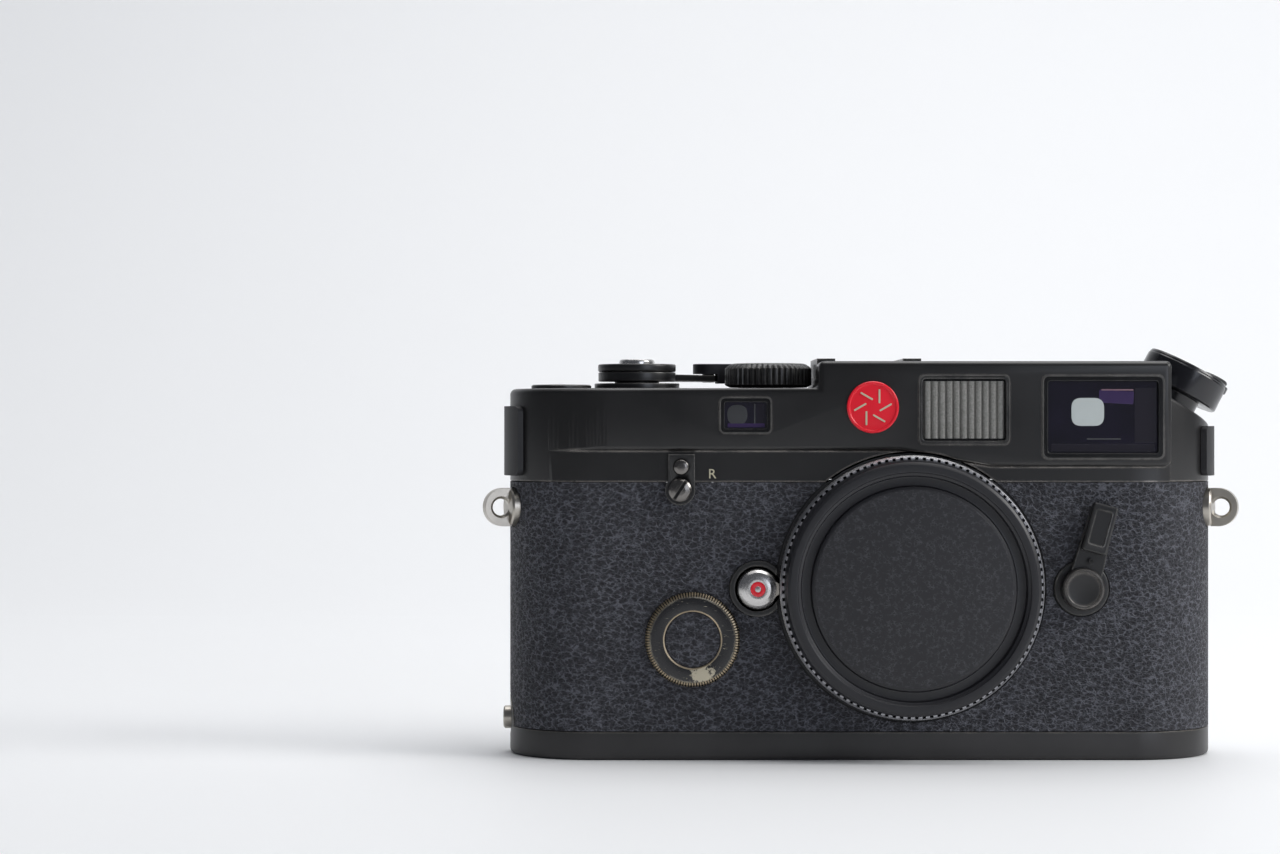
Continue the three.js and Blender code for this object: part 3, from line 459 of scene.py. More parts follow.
def plastic(name, colour=(0.013, 0.013, 0.016), roughness=0.42, grain=0.004, scale=1500, edge=0.25):
    look = Look(name, colour, roughness, 0.0, IOR=1.48)
    cloud = look.noise(80, 4)
    fine = look.noise(scale, 6, rough=0.65)
    rub = look.times(look.edge_mask(0.4), edge)
    look.colour(look.mix(rub, colour, RUBBED_PLASTIC))
    look.rough(look.plus(roughness - 0.05, look.times(cloud, 0.12)))
    look.bump(fine, grain, 0.7)
    return look.material


def grained_look():
    """Moulded leather grain on the middle of the cap, with small bright creases."""
    look = Look("grained_plastic", (0.018, 0.018, 0.022), 0.44, 0.0, IOR=1.48)
    creases = look.ramp(look.cells(1500, "DISTANCE_TO_EDGE", (1, 1, 1.5), 0.0014, 700), (0.0, 1.0),
        (0.22, 0.0))
    wander = look.ramp(look.noise(1100, 2), (0.45, 0.0), (0.7, 1.0))
    height = look.times(creases, wander)
    grain = look.ramp(height, (0.0, (0.0145, 0.0145, 0.0175)), (1.0, (0.05, 0.05, 0.058)))
    look.colour(look.mix(look.edge_mask(0.35), grain, RUBBED_PLASTIC))
    look.rough(look.ramp(height, (0.0, 0.5), (1.0, 0.38)))
    look.bump(look.plus(height, look.noise(2600, 5, rough=0.7)), 0.035, 0.6)
    return look.material


def metal_look(name, colour, roughness, streak=(1, 1, 1), grime=0.25, bump=0.003, brushed=1400):
    """Bare metal: soft stains, fine brushing and darker corners."""
    look = Look(name, colour, roughness, 1.0)
    cloud = look.noise(150, 5)
    lines = look.noise(brushed, 3, streak)
    corner = look.edge_mask(0.35)
    dull = look.times(look.ramp(cloud, (0.45, 0.0), (0.75, 1.0)), grime)
    look.colour(look.mix(dull, colour, scaled(colour, 0.45)))
    look.rough(look.plus(roughness - 0.07, look.times(look.plus(lines, corner), 0.12)))
    look.bump(lines, bump, 0.5)
    return look.material


def glass_look(name, colour, roughness=0.04, painted_reflection_tint=(0.012, 0.009, 0.026)):
    """Coated window glass over a dark finder: near black, with a painted violet coating reflection in
    patches.
    """
    look = Look(name, colour, roughness, 0.0, IOR=1.6, Coat_Weight=1.0, Coat_Roughness=0.03)
    cloud = look.noise(110, 2)
    # Painted reflection: violet coating colour in cloudy patches.
    look.colour(look.mix(look.ramp(cloud, (0.4, 0.0), (0.75, 0.6)), colour, painted_reflection_tint))
    dust = look.ramp(look.noise(1800, 8, rough=0.8), (0.62, 0.0), (0.8, 1.0))
    look.rough(look.plus(roughness, look.times(dust, 0.15)))
    return look.material


def red_enamel():
    look = Look("red_enamel", (0.9, 0.012, 0.03), 0.22, 0.0, Coat_Weight=0.6, Coat_Roughness=0.08)
    cloud = look.noise(140, 3)
    look.colour(look.mix(look.ramp(cloud, (0.3, 0.0), (0.8, 1.0)), (0.85, 0.012, 0.028), (0.97, 0.018, 0.04)))
    look.bump(look.noise(700, 3), 0.004, 0.3)
    return look.material


def frosted_look():
    """Olive-grey frosted plastic, painted lighter along its edges and ridges as a highlight."""
    look = Look("frosted_window", (0.17, 0.165, 0.14), 0.42)
    speck = look.noise(2400, 6, rough=0.8)
    corner = look.edge_mask(0.3, 0.03, 0.3)
    base = look.mix(look.ramp(speck, (0.35, 0.0), (0.7, 1.0)), (0.15, 0.148, 0.135), (0.32, 0.315, 0.295))
    # Painted highlight: colour along the edges of the pane and its ridges is pushed towards pale grey.
    look.colour(look.mix(look.times(corner, 0.35), base, (0.5, 0.49, 0.46)))
    look.bump(speck, 0.02, 0.6)
    return look.material


def flat_look(name, colour, roughness, speck=0.2):
    look = Look(name, colour, roughness)
    cloud = look.noise(500, 4)
    look.colour(look.mix(look.times(cloud, speck), colour, scaled(colour, 0.4)))
    look.bump(look.noise(1500, 4), 0.004, 0.5)
    return look.material


def worn_ring_look():
    """Black ring of the battery cover: scratched, and rubbed through to brass low on its inner edge."""
    look = Look("worn_ring", (0.012, 0.012, 0.013), 0.25, 0.0, Coat_Weight=0.2, Coat_Roughness=0.15)
    bare_spot = Vector((BATTERY.x + 1.8, -18.4, BATTERY.z - 6.4)) * MM
    spot = look.add("ShaderNodeVectorMath", {0: look.where, 1: bare_spot}, operation="DISTANCE")
    near = look.math("SUBTRACT", 1.0, look.times(spot.outputs["Value"], 330.0))
    rough_edge = look.times(look.math("SUBTRACT", look.noise(1100, 6, rough=0.75), 0.5), 2.6)
    rubbed = look.ramp(look.plus(near, rough_edge), (0.3, 0.0), (0.42, 1.0))
    scratch = look.ramp(look.noise(1100, 3, (0.25, 1, 1.6), distortion=2.5), (0.67, 0.0), (0.71, 1.0))
    edge_patch = look.ramp(look.noise(500, 4), (0.35, 0.1), (0.6, 1.0))
    edge = look.times(look.edge_mask(0.4, 0.01, 0.08), edge_patch)
    bare = look.math("MAXIMUM", rubbed, look.math("MAXIMUM", look.times(scratch, 0.6), edge))
    look.colour(look.mix(bare, (0.01, 0.01, 0.012), (0.55, 0.5, 0.38)))
    look.metal(look.times(bare, 0.7))
    look.rough(look.plus(0.22, look.times(bare, 0.25)))
    look.bump(scratch, -0.01, 0.5)
    return look.material


PAINT = lacquer("black_lacquer")
# Cover lacquer: its broad pale edge band is mostly a painted highlight along the hump's top edges.
PAINT_TOP = lacquer("cover_lacquer", (0.0085, 0.0082, 0.0085), 0.33, (0.36, 0.33, 0.3), 1.0, 0.7)
PAINT_BASE = lacquer("base_lacquer", (0.021, 0.02, 0.0205), 0.42, (0.34, 0.31, 0.26), 0.85, 0.6)
GLOSSY = lacquer("knob_lacquer", (0.008, 0.008, 0.011), 0.2, amount=0.5)
JET = lacquer("frame_black", (0.003, 0.003, 0.0035), 0.18, amount=0.12)
# Window bead: its lighter grey is a painted highlight line round each window, with rubbed edges.
BEAD_WEAR_AND_HIGHLIGHT = lacquer("rubbed_bead_and_highlight", (0.035, 0.034, 0.033), 0.34, amount=0.5)
LEATHER_LOOK = leather_look()
CAP_PLASTIC = plastic("cap_plastic", (0.015, 0.015, 0.018), 0.36, 0.003, 1800, 0.2)
PLASTIC = plastic("black_plastic")
RUBBER = plastic("strap_guard_plastic", (0.012, 0.012, 0.014), 0.5, 0.006, 1200, 0.15)
CASTING = plastic("shell_paint", (0.02, 0.02, 0.022), 0.55, 0.01, 700, 0.3)
GRAINED = grained_look()
CHROME = metal_look("satin_chrome", (0.62, 0.61, 0.6), 0.27)
NICKEL = metal_look("brushed_nickel", (0.5, 0.47, 0.42), 0.34, (1, 1, 6), 0.45)
STEEL = metal_look("dark_steel", (0.2, 0.2, 0.205), 0.35)
BRASS = metal_look("bright_brass", (0.55, 0.4, 0.17), 0.28)
CAP_EDGE = metal_look("cap_edge_metal", (0.42, 0.42, 0.44), 0.34, grime=0.35)
BRASS_WORN = metal_look("aged_brass", (0.46, 0.38, 0.27), 0.38, grime=0.5)
SCREW_LOOK = metal_look("blackened_steel", (0.2, 0.19, 0.18), 0.24, grime=0.4)
FINDER_GLASS = glass_look("finder_glass", (0.006, 0.005, 0.012))
LENS_GLASS = glass_look("eyepiece_glass", (0.004, 0.004, 0.006), 0.03, (0.03, 0.02, 0.06))
RED = red_enamel()
FROSTED = frosted_look()
IVORY = flat_look("ivory_fill", (0.62, 0.58, 0.42), 0.5)
BOARD = flat_look("circuit_board", (0.03, 0.11, 0.045), 0.5)
CLOTH = flat_look("rubberised_cloth", (0.012, 0.012, 0.013), 0.85)
# Thin sheets on the finder glass: painted light, a dim painted sheen, painted shade and a painted reflection.
PAINTED_FINDER_LIGHT = flat_look("painted_finder_light", (0.56, 0.61, 0.6), 0.35, 0.1)
DIM_PAINTED_SHEEN = flat_look("dim_painted_sheen", (0.05, 0.052, 0.056), 0.3, 0.2)
PAINTED_FINDER_SHADE = flat_look("painted_finder_shade", (0.016, 0.014, 0.022), 0.2, 0.1)
PAINTED_ROSE_REFLECTION = flat_look("painted_rose_reflection", (0.26, 0.15, 0.19), 0.3, 0.1)
VIOLET = flat_look("coating_reflection", (0.05, 0.03, 0.1), 0.2, 0.3)
WORN_RING = worn_ring_look()


# ---- small makers

def drum(r, y0, y1, at, segments=96):
    return turned("tool", [(0, y0), (r, y0), (r, y1), (0, y1)], *at, "y", segments)


def post(r, z0, z1, x, y=0.0, segments=96):
    return turned("tool", [(0, z0), (r, z0), (r, z1), (0, z1)], x, y, "z", segments)


def block(x0, x1, y0, y1, z0, z1, name="tool"):
    return slab(name, [(x0, z0), (x1, z0), (x1, z1), (x0, z1)], y0, y1)


def tilt(obj, angle, about, axis="Y"):
    """Turns a mesh's own vertices about a point in millimetres."""
    at = Vector(about) * MM
    obj.data.transform(
        Matrix.Translation(at) @ Matrix.Rotation(math.radians(angle), 4, axis) @ Matrix.Translation(-at))
    return obj


def shift(obj, x, y, z):
    obj.data.transform(Matrix.Translation(Vector((x, y, z)) * MM))
    return obj


def along_x(obj, z, turn=90):
    """Lays a piece drawn about the Z axis along X, at a height."""
    obj.data.transform(Matrix.Rotation(math.radians(turn), 4, "Y"))
    return shift(obj, 0, 0, z)


def bar(r, x0, x1, z, segments=64):
    return along_x(post(r, x0, x1, 0, 0, segments), z)


def lathe(name, profile, at, body, material, *nodes, soft=0.12, steps=3, segments=128, ridges=None,
          axis="y", slot=None, closed=False, cuts=(), angle=32):
    """A finished solid of revolution with softened corners, less what the cuts take away."""
    obj = turned(name, soften(profile, soft, steps, closed), *at, axis, segments, ridges)
    if cuts:
        carve(obj, *cuts)
        shade(obj, angle)
    return finish(obj, body, material, *nodes, slot=slot)


# ---- top cover

BODY_TOP = COVER.z0
DECK = HUB.z0 + 2.7
HUMP_TOP = COVER.z1
PANEL_Y = COVER.y0 + 0.3
HUMP_LEFT, HUMP_RIGHT = -8.9, 59.0
PANEL_LOW_LEFT, PANEL_LOW_RIGHT = 59.7, 56.6
PANEL_FLAT_X = -49.0
KNOB_TILT = 28.0
COVER_WALL = 1.3
SCOOP_R = 9.2


def on_shoulder(obj, drop=0.0):
    """Moves a piece drawn about the Z axis onto the leaning rewind axis."""
    lean = math.radians(KNOB_TILT)
    obj.data.transform(Matrix.Rotation(lean, 4, "Y"))
    return shift(obj, 61.58 - drop * math.sin(lean), 0, 68.62 - drop * math.cos(lean))


def above_shoulder(x0, drop):
    wedge = on_shoulder(block(-30, 40, -30, 30, 0, 50), drop)
    return common(wedge, block(x0, 100, -40, 40, 40, 120))


PANEL_START = math.radians(54)
CORNER = math.degrees(math.acos((HUMP_RIGHT - END_X) / R_END))


def panel_curve():
    """Where the panel leaves the round end, up to its flat front."""
    sx = -END_X - R_END * math.cos(PANEL_START)
    sy = -R_END * math.sin(PANEL_START)
    run = (sy - PANEL_Y) / math.cos(PANEL_START)
    return bend((sx, sy), (sx + run * math.sin(PANEL_START), PANEL_Y), (PANEL_FLAT_X, PANEL_Y), 20)


def cover_plan():
    """Outline of the cover with its panel, counter-clockwise from above."""
    right = arc(END_X, 0, R_END, -CORNER, CORNER, 22) + arc(END_X, 0, R_END, CORNER, 90, 4)[1:]
    left = arc(-END_X, 0, R_END, 90, 180 + math.degrees(PANEL_START), 72)
    return right + left[:-1] + panel_curve() + [(HUMP_RIGHT, PANEL_Y)]


def wall_y(x):
    """The plain body's front at x."""
    past = max(abs(x) - END_X, 0)
    return -math.sqrt(R_END ** 2 - past ** 2)


def panel_recess():
    """What is cut away below the panel: its lower edge is rounded and steps down past the mount."""
    line = soften([(-80, PANEL_LOW_LEFT), (7, PANEL_LOW_LEFT), (24, PANEL_LOW_RIGHT), (80, PANEL_LOW_RIGHT)],
                  [0, 8, 8, 0], 8)
    curve = panel_curve()
    turn_r = 1.5
    last = HUMP_RIGHT - turn_r
    columns = [curve[0][0] + 0.05, *(-END_X + R_END * math.cos(math.radians(a)) for a in range(236, 270, 2)),
               *np.linspace(-END_X, PANEL_FLAT_X, 6), *np.linspace(-46, 2, 12), *np.linspace(3.5, 28, 20),
               *np.linspace(31, last - 1, 10),
               *(last + turn_r * math.sin(t) for t in np.linspace(0, math.pi / 2, 9)), HUMP_RIGHT + 0.4]
    rings = []
    for x in columns:
        inside = min(x, HUMP_RIGHT)
        wall = wall_y(inside) - 0.02
        face = float(np.interp(x, *zip(*curve))) if x < PANEL_FLAT_X else PANEL_Y
        edge = float(np.interp(x, *zip(*line)))
        edge += turn_r - math.sqrt(max(turn_r ** 2 - max(inside - last, 0) ** 2, 0))
        proud = max(wall - face, 0)
        r = min(0.85, 0.8 * proud)
        f = min(0.25, 0.2 * proud)
        ring = [(wall, 50), (wall, edge - f - 0.3), (wall, edge - f), (wall - 0.3 * f, edge - 0.3 * f)]
        ring += [(wall - f, edge)]
        ring += [(face + r - r * math.sin(t), edge + r - r * math.cos(t)) for t in np.linspace(0,
            math.pi / 2, 6)]
        ring += [(face - 1.2, edge + r + 0.01), (-26, edge + r + 0.01), (-26, 50)]
        rings.append([(x, min(y, wall), z) for y, z in ring])
    n = len(rings[0])
    verts = [v for ring in rings for v in ring]
    faces = [[i * n + k, i * n + (k + 1) % n, (i + 1) * n + (k + 1) % n, (i + 1) * n + k]
             for i in range(len(rings) - 1) for k in range(n)]
    faces += [list(range(n)), list(range(len(verts) - 1, len(verts) - n - 1, -1))]
    return new_object("recess", verts, faces)


def cover_edge(mid):
    """How far each edge of the outer shape is rounded."""
    if mid.z < BODY_TOP + 0.1:
        return 0.2
    on_top = mid.z > HUMP_TOP - 0.05 or abs(mid.z - DECK) < 0.05
    front_corner = mid.y < PANEL_Y + 0.2 and min(abs(mid.x - HUMP_RIGHT), abs(mid.x - HUMP_LEFT)) < 0.2
    back_corner = mid.y > R_END - 0.2 and abs(mid.x - HUMP_LEFT) < 0.2
    if on_top or front_corner or back_corner:
        return 1.1
    if mid.x > HUMP_RIGHT + 0.2:
        return 0.5
    return 0.0


def window_cut(span, back=0):
    return slab("tool", rounded_rect(span.x, span.z, span.w - 0.2, span.h - 0.2, 1.1), -30, back)


def top_cover():
    outer = slab("top_cover_skin", cover_plan(), BODY_TOP, HUMP_TOP, "z")
    carve(outer, block(-80, HUMP_LEFT, -20, 20, DECK, 90), above_shoulder(HUMP_RIGHT, 0))
    round_some(outer, cover_edge, 5)
    carve(outer, panel_recess())
    cavity = slab("cavity", stadium(COVER_WALL), BODY_TOP - 2, HUMP_TOP - COVER_WALL, "z")
    carve(cavity, block(-80, HUMP_LEFT + COVER_WALL, -20, 20, DECK - COVER_WALL, 90),
          above_shoulder(HUMP_RIGHT - COVER_WALL, COVER_WALL))
    scoop = turned("scoop", [(0, -COVER_WALL), (SCOOP_R + 1.2, -COVER_WALL), (SCOOP_R + 1.2, 30), (0, 30)],
                   0, 0, "z", 72)
    carve(cavity, on_shoulder(scoop), block(SHOE.x - 11.2, SHOE.x + 11.2, -9.2, 30, 72.4, 90))
    carve(outer, cavity)
    mouth = [(0, 0), (SCOOP_R - 0.5, 0), *arc(SCOOP_R - 0.5, 0.5, 0.5, -90, 0, 4), (SCOOP_R, 30), (0, 30)]
    carve(
        outer,
        on_shoulder(turned("scoop", mouth, 0, 0, "z", 96)),
        drum(LENS_HOLE_R, -20, -14, LENS, 128),
        block(SHOE.x - 10.4, SHOE.x + 10.4, -8, 20, 73.8, 90),
        window_cut(RANGE_W),
        window_cut(LIGHT_W, -12),
        window_cut(VIEW_W),
        drum(5.2, 14, 20, EYE.xz),
        *[drum(2.6, 14, 20, s.xz, 48) for s in SOCKETS],
        post(4.6, 68, 80, HUB.x, 0, 64),
        post(2.4, 68, 80, DIAL.x, 0, 48),
        post(4.9, 68, 80, COUNTER.x, COUNTER.y, 64),
    )
    shade(outer, 32)
    finish(outer, "body", PAINT_TOP, "top_cover", slot="cover_brass")


top_cover()


# ---- windows

FRAME_Y = RANGE_W.y0
FRAME_BACK = -15.8
PANE_BACK = -17.3


def frame_ring(name, window, w, h, rim, edge, corner, front, material, *nodes):
    ring = slab(name, rounded_rect(window.x, window.z, w, h, corner), front, FRAME_BACK)
    inner = rounded_rect(window.x, window.z, w - rim, h - rim, max(corner - rim / 3, 0.35))
    carve(ring, slab("tool", inner, -30, 0))
    round_edges(ring, edge, 4)
    finish(ring, "body", material, *nodes)


def pane(window, name, dx, dz, w, h, r, front, material, *nodes, back=PANE_BACK, edge=0.06):
    outline = rounded_rect(window.x + dx, window.z + dz, w, h, r)
    return finish(slab(name, outline, front, back, "y", edge), "body", material, *nodes)


# Width, height, rim, edge rounding and corner of each window's painted bead, then of the rim inside it.
for window, name, bead, rim, look, nodes in (
    (RANGE_W, "rangefinder", (10, 7, 0.45, 0.1, 1.1), (9.6, 6.6, 1.5, 0.2, 0.95), JET,
     ["rangefinder_window_frame"]),
    (LIGHT_W, "illumination", (17.5, 13.4, 0.45, 0.1, 1.3), (17.1, 13.0, 1.1, 0.2, 1.15), PAINT, []),
    (VIEW_W, "viewfinder", (23.4, 16.1, 0.5, 0.1, 1.4), (22.9, 15.6, 1.7, 0.3, 1.2), JET,
    ["viewfinder_frame"]),
):
    frame_ring(name + "_bead", window, *bead, FRAME_Y, BEAD_WEAR_AND_HIGHLIGHT)
    frame_ring(name + "_rim", window, *rim, FRAME_Y + 0.12, look, *nodes)

pane(RANGE_W, "rangefinder_pane", 0, 0, 8.2, 5.2, 0.5, -17.42, FINDER_GLASS, "rangefinder_window_glass",
    back=-16)
pane(LIGHT_W, "illumination_gap", 0, 0, 16.2, 12.2, 0.6, -17.02, JET, back=-16.3)
pane(VIEW_W, "viewfinder_pane", 0, 0, 21.3, 14, 0.7, -17.4, FINDER_GLASS, "viewfinder_glass", back=-16,
    edge=0.2)

# Painted light, sheen, shade and reflections laid as thin sheets on the glass: offset from the window's
# middle, width, height, corner and front.
for window, name, *shape, look in (
    (RANGE_W, "rangefinder_prism_face", -1.6, 0.1, 3.9, 3.9, 1.9, -17.46, DIM_PAINTED_SHEEN),
    (RANGE_W, "rangefinder_light_strip", 0.1, -1.95, 7.2, 0.8, 0.2, -17.47, VIOLET),
    (RANGE_W, "rangefinder_side", 2.7, 0.35, 1.5, 3.8, 0.15, -17.45, PAINTED_FINDER_SHADE),
    (RANGE_W, "rangefinder_slit", 1.75, 0.3, 0.28, 3.9, 0.12, -17.47, DIM_PAINTED_SHEEN),
    (VIEW_W, "viewfinder_ocular_patch", -2.9, 1, 6.3, 5.4, 1.9, -17.45, PAINTED_FINDER_LIGHT),
    (VIEW_W, "viewfinder_top_line", 2.8, 5.25, 6.2, 0.28, 0.12, -17.45, PAINTED_ROSE_REFLECTION),
    (VIEW_W, "viewfinder_side", 8.2, 0.4, 4.2, 10.6, 0.3, -17.42, PAINTED_FINDER_SHADE),
    (VIEW_W, "viewfinder_lower_sheen", 0.2, -4.2, 6.6, 0.3, 0.14, -17.42, DIM_PAINTED_SHEEN),
    (VIEW_W, "viewfinder_lower_edge", 0, -5.9, 20, 1.5, 0.3, -17.42, PAINTED_FINDER_SHADE),
):
    pane(window, name, *shape, look)
tilt(pane(VIEW_W, "viewfinder_top_bar", 2.4, 4.0, 6.7, 2.5, 0.3, -17.43, VIOLET), 3, (VIEW_W.x, 0, VIEW_W.z))


def ridged_window():
    """Frosted pane with upright ridges that have rounded crowns."""
    half_w, half_h, pitch, depth, count = 7.75, 5.5, 1.4, 0.5, 11
    face, back = -17.1, -16.2
    section = []
    for i in range(count):
        for t in np.linspace(-1, 1, 9):
            x = (i - count // 2) * pitch + t * pitch * 0.47
            section.append((x, face - 0.05 - depth * max(0.0, 1 - abs(t) ** 4.5)))
    outline = [(-half_w, back), (-half_w, face), *section, (half_w, face), (half_w, back)]
    obj = slab("frosted_pane", [(LIGHT_W.x + u, v) for u, v in outline], LIGHT_W.z - half_h,
        LIGHT_W.z + half_h, "z")
    shade(obj, 30)
    finish(obj, "body", FROSTED, "illumination_window", slot="frosted")


ridged_window()


# ---- badge

def badge():
    """Red disc with an iris of six blades."""
    spot = Span("badge")
    cx, cz, face = spot.x, spot.z, spot.y0
    lathe("badge_disc", [
        (0, face + 0.8), (5, face + 0.8), (5, face + 0.2), (4.85, face), (4.5, face), (4.38, face + 0.22),
        (3.2, face + 0.14), (1.6, face + 0.09), (0, face + 0.08),
    ], spot.xz, "body", RED, "badge", soft=0.08, segments=96, slot="red_enamel")
    blade = rounded_rect(cx + 1.25, cz + 2.1, 0.34, 2.7, 0.16, 4)
    iris, *others = [tilt(slab("badge_iris", blade, face + 0.02, face + 0.3), 60 * i,
        (cx, 0, cz)) for i in range(6)]
    weld(iris, *others)
    shade(iris, 30)
    finish(iris, "body", IVORY)


badge()


# ---- leather and shell

LUG_TURN = 18
LUG_Z = 48.5
LUG_R = 3.75
STUD_Z = 6.8
REWIND_SCREW = (-35.6, 52.06)


def at_lug(obj, sign):
    """Carries a mesh drawn at the right end round to its lug's place."""
    tilt(obj, -sign * LUG_TURN, (END_X, 0, 0), "Z")
    return tilt(obj, 180 if sign < 0 else 0, (0, 0, 0), "Z")


def leather():
    skin = slab("leather_wrap", stadium(0, 96), LEATHER.z0, LEATHER.z1, "z")
    carve(
        skin,
        slab("tool", stadium(0.6, 72), 0, 90, "z"),
        drum(LENS_HOLE_R, -20, 0, LENS, 160),
        block(-46, 30, 5, 20, 0, 90),
        drum(5.5, -20, -10, RELEASE.xz),
        drum(9.15, -20, -10, BATTERY.xz),
        drum(5.5, -20, -10, SELECTOR),
        drum(1.6, -20, -10, REWIND_SCREW, 48),
        *(at_lug(bar(3.9, 60, 80, LUG_Z), sign) for sign in (-1, 1)),
        bar(5.9, -80, -55, 6.0),
    )
    round_edges(skin, 0.18, 2, 40)
    finish(skin, "body", LEATHER_LOOK, "leather_covering", slot="leather")


def door_leather():
    span = Span("door_leather")
    panel = slab("door_leather_panel", rounded_rect(span.x, span.z, span.w, span.h, 0.8), span.y0, span.y1)
    carve(panel, drum(16.9, 10, 20, FILM_DIAL.xz, 128))
    round_edges(panel, 0.18, 2)
    finish(panel, "back_door", LEATHER_LOOK, "door_leather", slot="leather")


leather()
door_leather()


# ---- lens mount, body cap and lens release

def flange():
    front, back = FLANGE.y0, -16.75
    path = soften([(21.9, back), (25.4, back), (25.4, front), (21.9, front)], 0.25, 4, closed=True)
    ring = turned("mount_ring", path, *LENS, "y", 192)
    for i in range(3):
        lug = drum(22.3, front, front + 1.4, (0, 0), 128)
        common(lug, block(-9, 9, -30, 0, 10, 30))
        carve(lug, drum(20.4, -30, 0, (0, 0), 128))
        tilt(lug, 120 * i + math.degrees(0.5), (0, 0, 0))
        weld(ring, shift(lug, LENS[0], 0, LENS[1]))
    shade(ring, 32)
    finish(ring, "body", CHROME, "lens_mount_flange", slot="chrome")


def milled_edge(name, section, at, count, half_share, body, material):
    """Small teeth round a part; section holds (radius, y), half_share is half a tooth's part of the pitch."""
    verts, faces = [], []
    n = len(section)
    for i in range(count):
        first = len(verts)
        for side in (-1, 1):
            a = 2 * math.pi * (i + side * half_share) / count
            verts += [(at[0] + r * math.cos(a), y, at[1] + r * math.sin(a)) for r, y in section]
        faces += [[first + k, first + (k + 1) % n, first + n + (k + 1) % n, first + n + k] for k in range(n)]
        faces += [[first + k for k in range(n)], [first + 2 * n - 1 - k for k in range(n)]]
    finish(new_object(name, verts, faces, 30), body, material)


def body_cap():
    """Moulded cap: a toothed bright edge, a flat rim, a groove and a finely grained centre."""
    back, front = CAP.y1, CAP.y0
    rim = -19.75
    lathe("cap_shell", [
        (0, rim), (18.6, rim), (18.6, back), (19.8, back), (19.8, rim), (25.1, rim), (25.1, rim - 0.25),
        (24.62, rim - 0.3), (24.6, rim - 1.75), (24.15, front + 0.35), (23.6, front), (22.3, front),
        (22.1, front + 0.3), (21.6, front + 0.5), (21.4, front + 1.9), (19.7, front + 1.9),
        (19.45, front + 0.9), (19.0, front + 0.72), (0, front + 0.9),
    ], LENS, "body_cap", CAP_PLASTIC, "body_cap", soft=0.14, segments=256, slot="black_plastic")
    lathe("cap_edge", [
        (24.98, -19.8), (25.28, -19.8), (25.32, -20.0), (25.3, -20.7), (25.12, -20.95), (24.98, -20.9),
    ], LENS, "body_cap", CAP_EDGE, soft=0.05, segments=256, closed=True)
    milled_edge("cap_grip_teeth", [
        (24.5, -19.9), (25.06, -19.9), (25.06, -20.95), (24.9, -21.15), (24.5, -21.15),
    ], LENS, 108, 0.27, "body_cap", CAP_EDGE)
    lathe("cap_grained_disc", [
        (0, front + 0.95), (19.1, front + 0.95), (19.1, front + 0.8), (18.8, front + 0.66), (0, front + 0.66),
    ], LENS, "body_cap", GRAINED, soft=0.06, steps=2)


def lens_release():
    lathe("release_guard", [(4.3, -15.5), (4.5, -15.5), (4.5, -16.15), (5.4, -16.15), (5.4, -18), (4.3, -18)],
          RELEASE.xz, "body", PAINT, "lens_release_guard", soft=0.22, steps=4, segments=96,
          closed=True, cuts=[drum(LENS_HOLE_R, -20, 0, LENS, 128)])
    top = RELEASE.y0
    lathe("release_dome", [
        (0, -13), (3.9, -13), (3.9, top + 1.5), (3.7, top + 0.95), (3.2, top + 0.45), (2.5, top + 0.15),
        (1.9, top + 0.05), (1.5, top + 0.05), (1.45, top + 0.14), (0.6, top + 0.14), (0.55, top), (0, top),
    ], RELEASE.xz, "lens_release", CHROME, "lens_release_button", soft=0.1, segments=96, slot="chrome")
    lathe("release_red_ring", [(0.6, top + 0.15), (1.42, top + 0.15), (1.42, top + 0.06), (0.6, top + 0.06)],
          RELEASE.xz, "lens_release", RED, soft=0.02, closed=True)
    x, z = RELEASE.xz
    outline = soften([(x + 2.9, z - 1.8), (x + 4.1, z - 1), (x + 4.1, z + 1), (x + 2.9, z + 1.8)], 0.25, 3,
        closed=True)
    finish(slab("release_tongue", outline, -19.2, -18.2, "y", 0.2), "lens_release", NICKEL)


flange()
body_cap()
lens_release()


# ---- battery cover

def battery_cover():
    lathe("battery_cap", [
        (0, -17.8), (5.5, -17.8), (5.5, -18.3), (5.6, -18.4), (8.15, -18.4), (8.3, -18.25), (8.34, -17.6),
        (8.34, -16.4), (6.4, -16.4), (6.4, -14.8), (5.9, -14.8), (5.9, -17), (0, -17),
    ], BATTERY.xz, "battery_cover", WORN_RING, "battery_cover", soft=0.08, slot="cover_brass")
    milled_edge("battery_cap_teeth", [
        (8.2, -18.3), (8.75, -18.15), (9.08, -17.7), (9.08, -16.6), (8.2, -16.6),
    ], BATTERY.xz, 104, 0.26, "battery_cover", BRASS_WORN)
    lathe("battery_cap_inner_line", [
        (5.42, -18.38), (5.62, -18.44), (5.72, -18.38), (5.6, -18.0), (5.42, -18.0),
    ], BATTERY.xz, "battery_cover", BRASS_WORN, soft=0.03, closed=True)
    lathe("battery_cap_leather", [(0, -17.75), (5.4, -17.75), (5.4, -18.1), (5.15, -18.26), (0, -18.3)],
          BATTERY.xz, "battery_cover", LEATHER_LOOK, "battery_cover_leather", soft=0.08, segments=96,
          slot="leather")


battery_cover()


# ---- front levers

